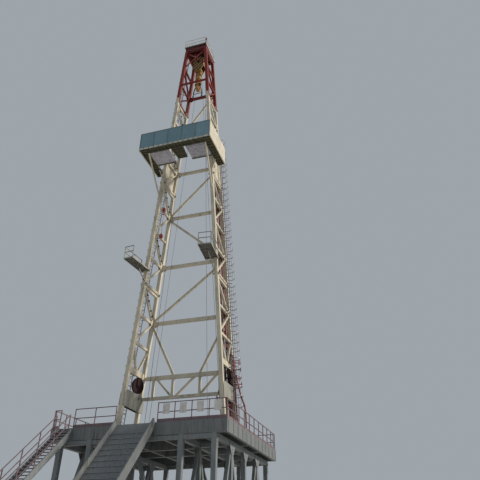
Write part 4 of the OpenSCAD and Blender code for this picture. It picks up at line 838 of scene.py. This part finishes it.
# Brake bands on the drum with their anchor bars, the flange bolts and the brake lever.
steel = Steelwork()
for e in FACES:
    x, y = DRUM.x + e * 0.405, DRUM.y - 0.285
    steel.turned([(0.277, -0.028), (0.292, -0.026), (0.292, 0.026), (0.277, 0.028)],
                 aim((x, DRUM.y, DRUM.z), (1, 0, 0)), 48)
    steel.bar((x, y, DRUM.z), (x, y, FLOOR_Z + 0.13), 0.05, 0.03)
    for a in circle(10):
        steel.bolt(around_x((DRUM.x + e * 0.512, DRUM.y, DRUM.z), 0.14, a), (e, 0, 0), 0.016)
LEVER = Vector((DRUM.x - 0.55, DRUM.y - 0.42, FLOOR_Z + 0.95))
steel.tube([LEVER + Vector((0, 0.07, -0.70)), LEVER + Vector((0, 0.06, -0.15)), LEVER], 0.03, 12)
steel.turned([(0.02, 0), (0.03, 0.03), (0.02, 0.06)], Matrix.Translation(LEVER - Vector((0, 0, 0.02))), 16)
steel.done("drum_brakes", scarlet)

# Drawworks: louvres, screws, door and lid of the hood, the motor's fins and the bolts of the skid.
HOOD_FRONT, HOOD_REAR, HOOD_TOP = WORKS_Y - 0.25, WORKS_Y + 0.65, FLOOR_Z + 0.9
steel = Steelwork()
for z in row(FLOOR_Z + 0.28, 0.055, 9):
    for y, tilt in ((HOOD_FRONT - 0.006, 0.5), (HOOD_REAR + 0.006, -0.5)):
        steel.bar((-1.05, y, z), (-0.62, y, z), 0.012, 0.035, (0, 1, tilt))
for x, z, (y, e) in product((-1.08, -0.22), (0.18, 0.4, 0.62, 0.84), ((HOOD_FRONT, -1), (HOOD_REAR, 1))):
    steel.bolt((x, y, FLOOR_Z + z), (0, e, 0), 0.014)
steel.slab((-0.52, HOOD_FRONT - 0.012, FLOOR_Z + 0.25), (-0.26, HOOD_FRONT, FLOOR_Z + 0.80))
steel.slab((-1.0, WORKS_Y - 0.1, HOOD_TOP), (-0.3, WORKS_Y + 0.5, HOOD_TOP + 0.015))
steel.turned([(0.15, 0), (0.15, 0.10), (0.12, 0.13), (0.05, 0.14)],
             Matrix.Translation((-0.65, WORKS_Y + 0.2, HOOD_TOP + 0.015)), 32)
lid_rail = ((-1.0, 0.01), (-1.0, 0.1), (-0.3, 0.1), (-0.3, 0.01))
steel.tube([(x, WORKS_Y - 0.2, HOOD_TOP + z) for x, z in lid_rail], 0.025, 10)
for x in row(DRUM.x - 0.46, 0.06, 16):
    steel.slab((x, WORKS_Y + 0.36, FLOOR_Z + 0.62), (x + 0.012, WORKS_Y + 0.79, FLOOR_Z + 0.655))
    steel.slab((x, WORKS_Y + 0.80, FLOOR_Z + 0.18), (x + 0.012, WORKS_Y + 0.825, FLOOR_Z + 0.58))
for x, y in product((-1.1, -0.4, 0.3, 1.0, 1.3), (WORKS_Y - 0.32, WORKS_Y + 0.87)):
    steel.bolt((x, y, FLOOR_Z + 0.12), (0, 0, 1), 0.022)
steel.done("drawworks_fittings", oxide)

# Rotary table: ring bolts, split bushings and the bolts of its base.
BUSH_IN, BUSH_OUT, BUSH_T = 0.182, 0.235, 0.02
steel = Steelwork()
for a in circle(16, 0.5):
    across, along = polar(0.28, a)
    steel.bolt((across, WELL_Y + along, FLOOR_Z + 0.07), (0, 0, 1), 0.016)
for s in SIDES:
    half = arc(8, 172, 20)
    rim = [polar(BUSH_OUT, a) for a in half] + [polar(BUSH_IN, a) for a in reversed(half)]
    steel.plate([(x, s * y) for x, y in rim], BUSH_T, Matrix.Translation((0, WELL_Y, FLOOR_Z + 0.081)))
for x, y in product((-0.5, -0.4, 0.4, 0.5), (-0.38, -0.2, 0.2, 0.38)):
    steel.bolt((x, WELL_Y + y, FLOOR_Z + 0.03), (0, 0, 1), 0.02)
steel.done("rotary_fittings", grey)

# Floor: stiffeners on the edge girders, lifting eyes, and hatches with their frames and handles.
EDGE_T, EDGE_LOW, EDGE_HIGH, EDGE_STEP = 0.012, FLOOR_Z - 0.36, FLOOR_Z - 0.03, 0.48
HATCHES = ((-1.9, FRONT_Y + 0.9), (1.5, FRONT_Y + 0.9), (2.3, 3.9))
steel = Steelwork()
for (y, e), x in product(((FRONT_Y, -1), (REAR_Y, 1)), row(-2.88, EDGE_STEP, 13)):
    y += e * EDGE_T / 2
    steel.bar((x, y, EDGE_LOW), (x, y, EDGE_HIGH), 0.03, EDGE_T, (0, 1, 0))
for s in SIDES:
    x = s * (FLOOR_X + EDGE_T / 2)
    for y in row(FRONT_Y + 0.12, EDGE_STEP, 13):
        steel.bar((x, y, EDGE_LOW), (x, y, EDGE_HIGH), 0.03, EDGE_T)
    for y in (FRONT_Y + 0.35, REAR_Y - 0.35):
        steel.tube([(s * (FLOOR_X - 0.25), y + 0.05 * math.cos(a), FLOOR_Z + 0.06 * math.sin(a))
                    for a in arc(0, 180, 10)], 0.02, 8)
for x, y in HATCHES:
    for e in FACES:
        rail, end = y + e * 0.25, x + e * 0.31
        steel.slab((x - 0.32, rail - 0.012, FLOOR_Z), (x + 0.32, rail + 0.012, FLOOR_Z + 0.012))
        steel.slab((end - 0.012, y - 0.25, FLOOR_Z), (end + 0.012, y + 0.25, FLOOR_Z + 0.012))
    handle = ((-0.06, 0.002), (-0.06, 0.03), (0.06, 0.03), (0.06, 0.002))
    steel.tube([(x + across, y - 0.18, FLOOR_Z + up) for across, up in handle], 0.012, 8)
steel.done("floor_fittings", slate)

# Substructure: bolted gussets where the posts meet the chords, wide at the inner posts, narrow at the ends.
BOX_W, BOX, BOX_TOP = 1.2, 0.15, FLOOR_Z - 0.38
INNER_HALF, END_HALF = 0.28, 0.07
steel = Steelwork()
for s, e, i, (z, up) in product(SIDES, FACES, range(5), ((BOX, 1), (BOX_TOP - BOX, -1))):
    x = s * FOOT_HALF + e * (BOX_W / 2 + GUSSET_T / 2 + GUSSET_GAP)
    y = FRONT_Y + i * (REAR_Y - FRONT_Y - BOX) / 4 + BOX / 2
    w = INNER_HALF if 0 < i < 4 else END_HALF
    face = Matrix(((0, 0, 1, x), (1, 0, 0, y), (0, 1, 0, z), (0, 0, 0, 1)))
    outline = [(-w - 0.004, -0.1), (w + 0.004, -0.1), (w, 0), (0.08, 0.27), (-0.08, 0.27), (-w, 0)]
    steel.plate([(along, high * up) for along, high in outline], GUSSET_T, face)
    for along, high in ((0, 0.2), (0, 0.1), (0.045, -0.05), (-0.045, -0.05), (0, 0)):
        steel.bolt((x + e * GUSSET_T / 2, y + along, z + high * up), (e, 0, 0), 0.018)
steel.done("substructure_gussets", slate)

# Ramp: cleats across the plate, and the bolts of its side rails.
RAMP_REACH = 4.3
steel = Steelwork(Matrix.Translation((0, FRONT_Y - RAMP_REACH, 0))
                  @ Matrix.Rotation(math.atan2(FLOOR_Z, RAMP_REACH), 4, "X"))
for y in row(0.35, 0.235, 24):
    steel.slab((-0.60, y - 0.012, 0), (0.60, y + 0.012, 0.016))
for s, y in product(SIDES, row(0.3, 0.48, 12)):
    steel.bolt((s * 0.655, y, 0.16), (0, 0, 1), 0.02)
steel.done("ramp_cleats", slate)

# Stair: flat nosings on the front edges of the treads, and the bolts of the stringers.
STEPS, STAIR_X, STAIR_W, STAIR_REACH = 44, -FLOOR_X + 0.3, 0.45, 5.0
steel = Steelwork()
for i in range(1, STEPS + 1):
    y = FRONT_Y - STAIR_REACH + (i - 0.3) * STAIR_REACH / (STEPS + 1)
    z = i * FLOOR_Z / (STEPS + 1) - 0.04
    steel.slab((STAIR_X + 0.004, y - 0.008, z - 0.018), (STAIR_X + STAIR_W - 0.004, y + 0.006, z + 0.017))
    for x, e in ((STAIR_X - 0.04, -1), (STAIR_X + STAIR_W + 0.04, 1)):
        steel.bolt((x, y + 0.06, z), (e, 0, 0), 0.010)
steel.done("stair_nosings", zinc)

# Crown: sheave guards bent over the wheels, and the bolts and feet of the bearing caps.
GUARD_R, BEARING_Y = 0.325, 0.295
steel = Steelwork()
for y in (-0.16, -0.06, 0.06, 0.16):
    over = [polar(GUARD_R, a) for a in arc(20, 160, 14)]
    steel.tube([(x, WELL_Y + y, SHAFT_Z + z) for x, z in over], 0.018, 8)
for e, s in product(FACES, SIDES):
    y = WELL_Y + e * BEARING_Y
    steel.bolt((s * 0.085, y, SHAFT_Z + 0.05), (0, 0, 1), 0.026)
    steel.slab((s * 0.16 - 0.03, y - 0.04, CROWN_Z + 0.001), (s * 0.16 + 0.03, y + 0.04, CROWN_Z + 0.02))
    steel.bolt((s * 0.165, y, CROWN_Z + 0.02), (0, 0, 1), 0.022)
steel.done("crown_guards", grey)

# Toe plates along the front and the sides of the crown's deck, with the ladder's gap on the left.
DECK_X, DECK_FRONT, DECK_REAR = TOP_HALF + 0.1, MAST_Y - LEG / 2 - 0.1, MAST_Y + 1.275
TOE_LOW, TOE_HIGH = CROWN_Z + 0.02, CROWN_Z + 0.09
steel = Steelwork()
steel.slab((-DECK_X + 0.03, DECK_FRONT + 0.002, TOE_LOW), (DECK_X - 0.03, DECK_FRONT + 0.012, TOE_HIGH))
for s, y in ((-1, DECK_FRONT + 1.15), (1, DECK_FRONT + 0.03)):
    x = s * (DECK_X - 0.007)
    steel.slab((x - 0.005, y, TOE_LOW), (x + 0.005, DECK_REAR, TOE_HIGH))
steel.done("crown_toe_plates", white)

# Floor and light.
size = 400
mesh = bpy.data.meshes.new("studio_floor")
mesh.from_pydata([(-size, -size, 0), (size, -size, 0), (size, size, 0), (-size, size, 0)], [], [(0, 1, 2, 3)])
floor = bpy.data.objects.new("studio_floor", mesh)
bpy.context.scene.collection.objects.link(floor)
pale = bpy.data.materials.new("pale_studio_floor")
pale.use_nodes = True
pale.node_tree.nodes["Principled BSDF"].inputs["Base Color"].default_value = srgb("#cfcdc8")
pale.node_tree.nodes["Principled BSDF"].inputs["Roughness"].default_value = 0.9
mesh.materials.append(pale)

sun = bpy.data.lights.new("key", "SUN")
sun.energy = 3.1
sun.angle = math.radians(8)
sun.color = (1.0, 0.93, 0.82)
key = bpy.data.objects.new("key", sun)
bpy.context.scene.collection.objects.link(key)
key.rotation_euler = Vector((-0.88, -0.22, -0.42)).to_track_quat("-Z", "Y").to_euler()

world = bpy.data.worlds.new("studio")
bpy.context.scene.world = world
world.use_nodes = True
back = world.node_tree.nodes["Background"]
back.inputs["Color"].default_value = srgb("#c9d2da")
back.inputs["Strength"].default_value = 0.58
bpy.context.scene.view_settings.view_transform = "Standard"
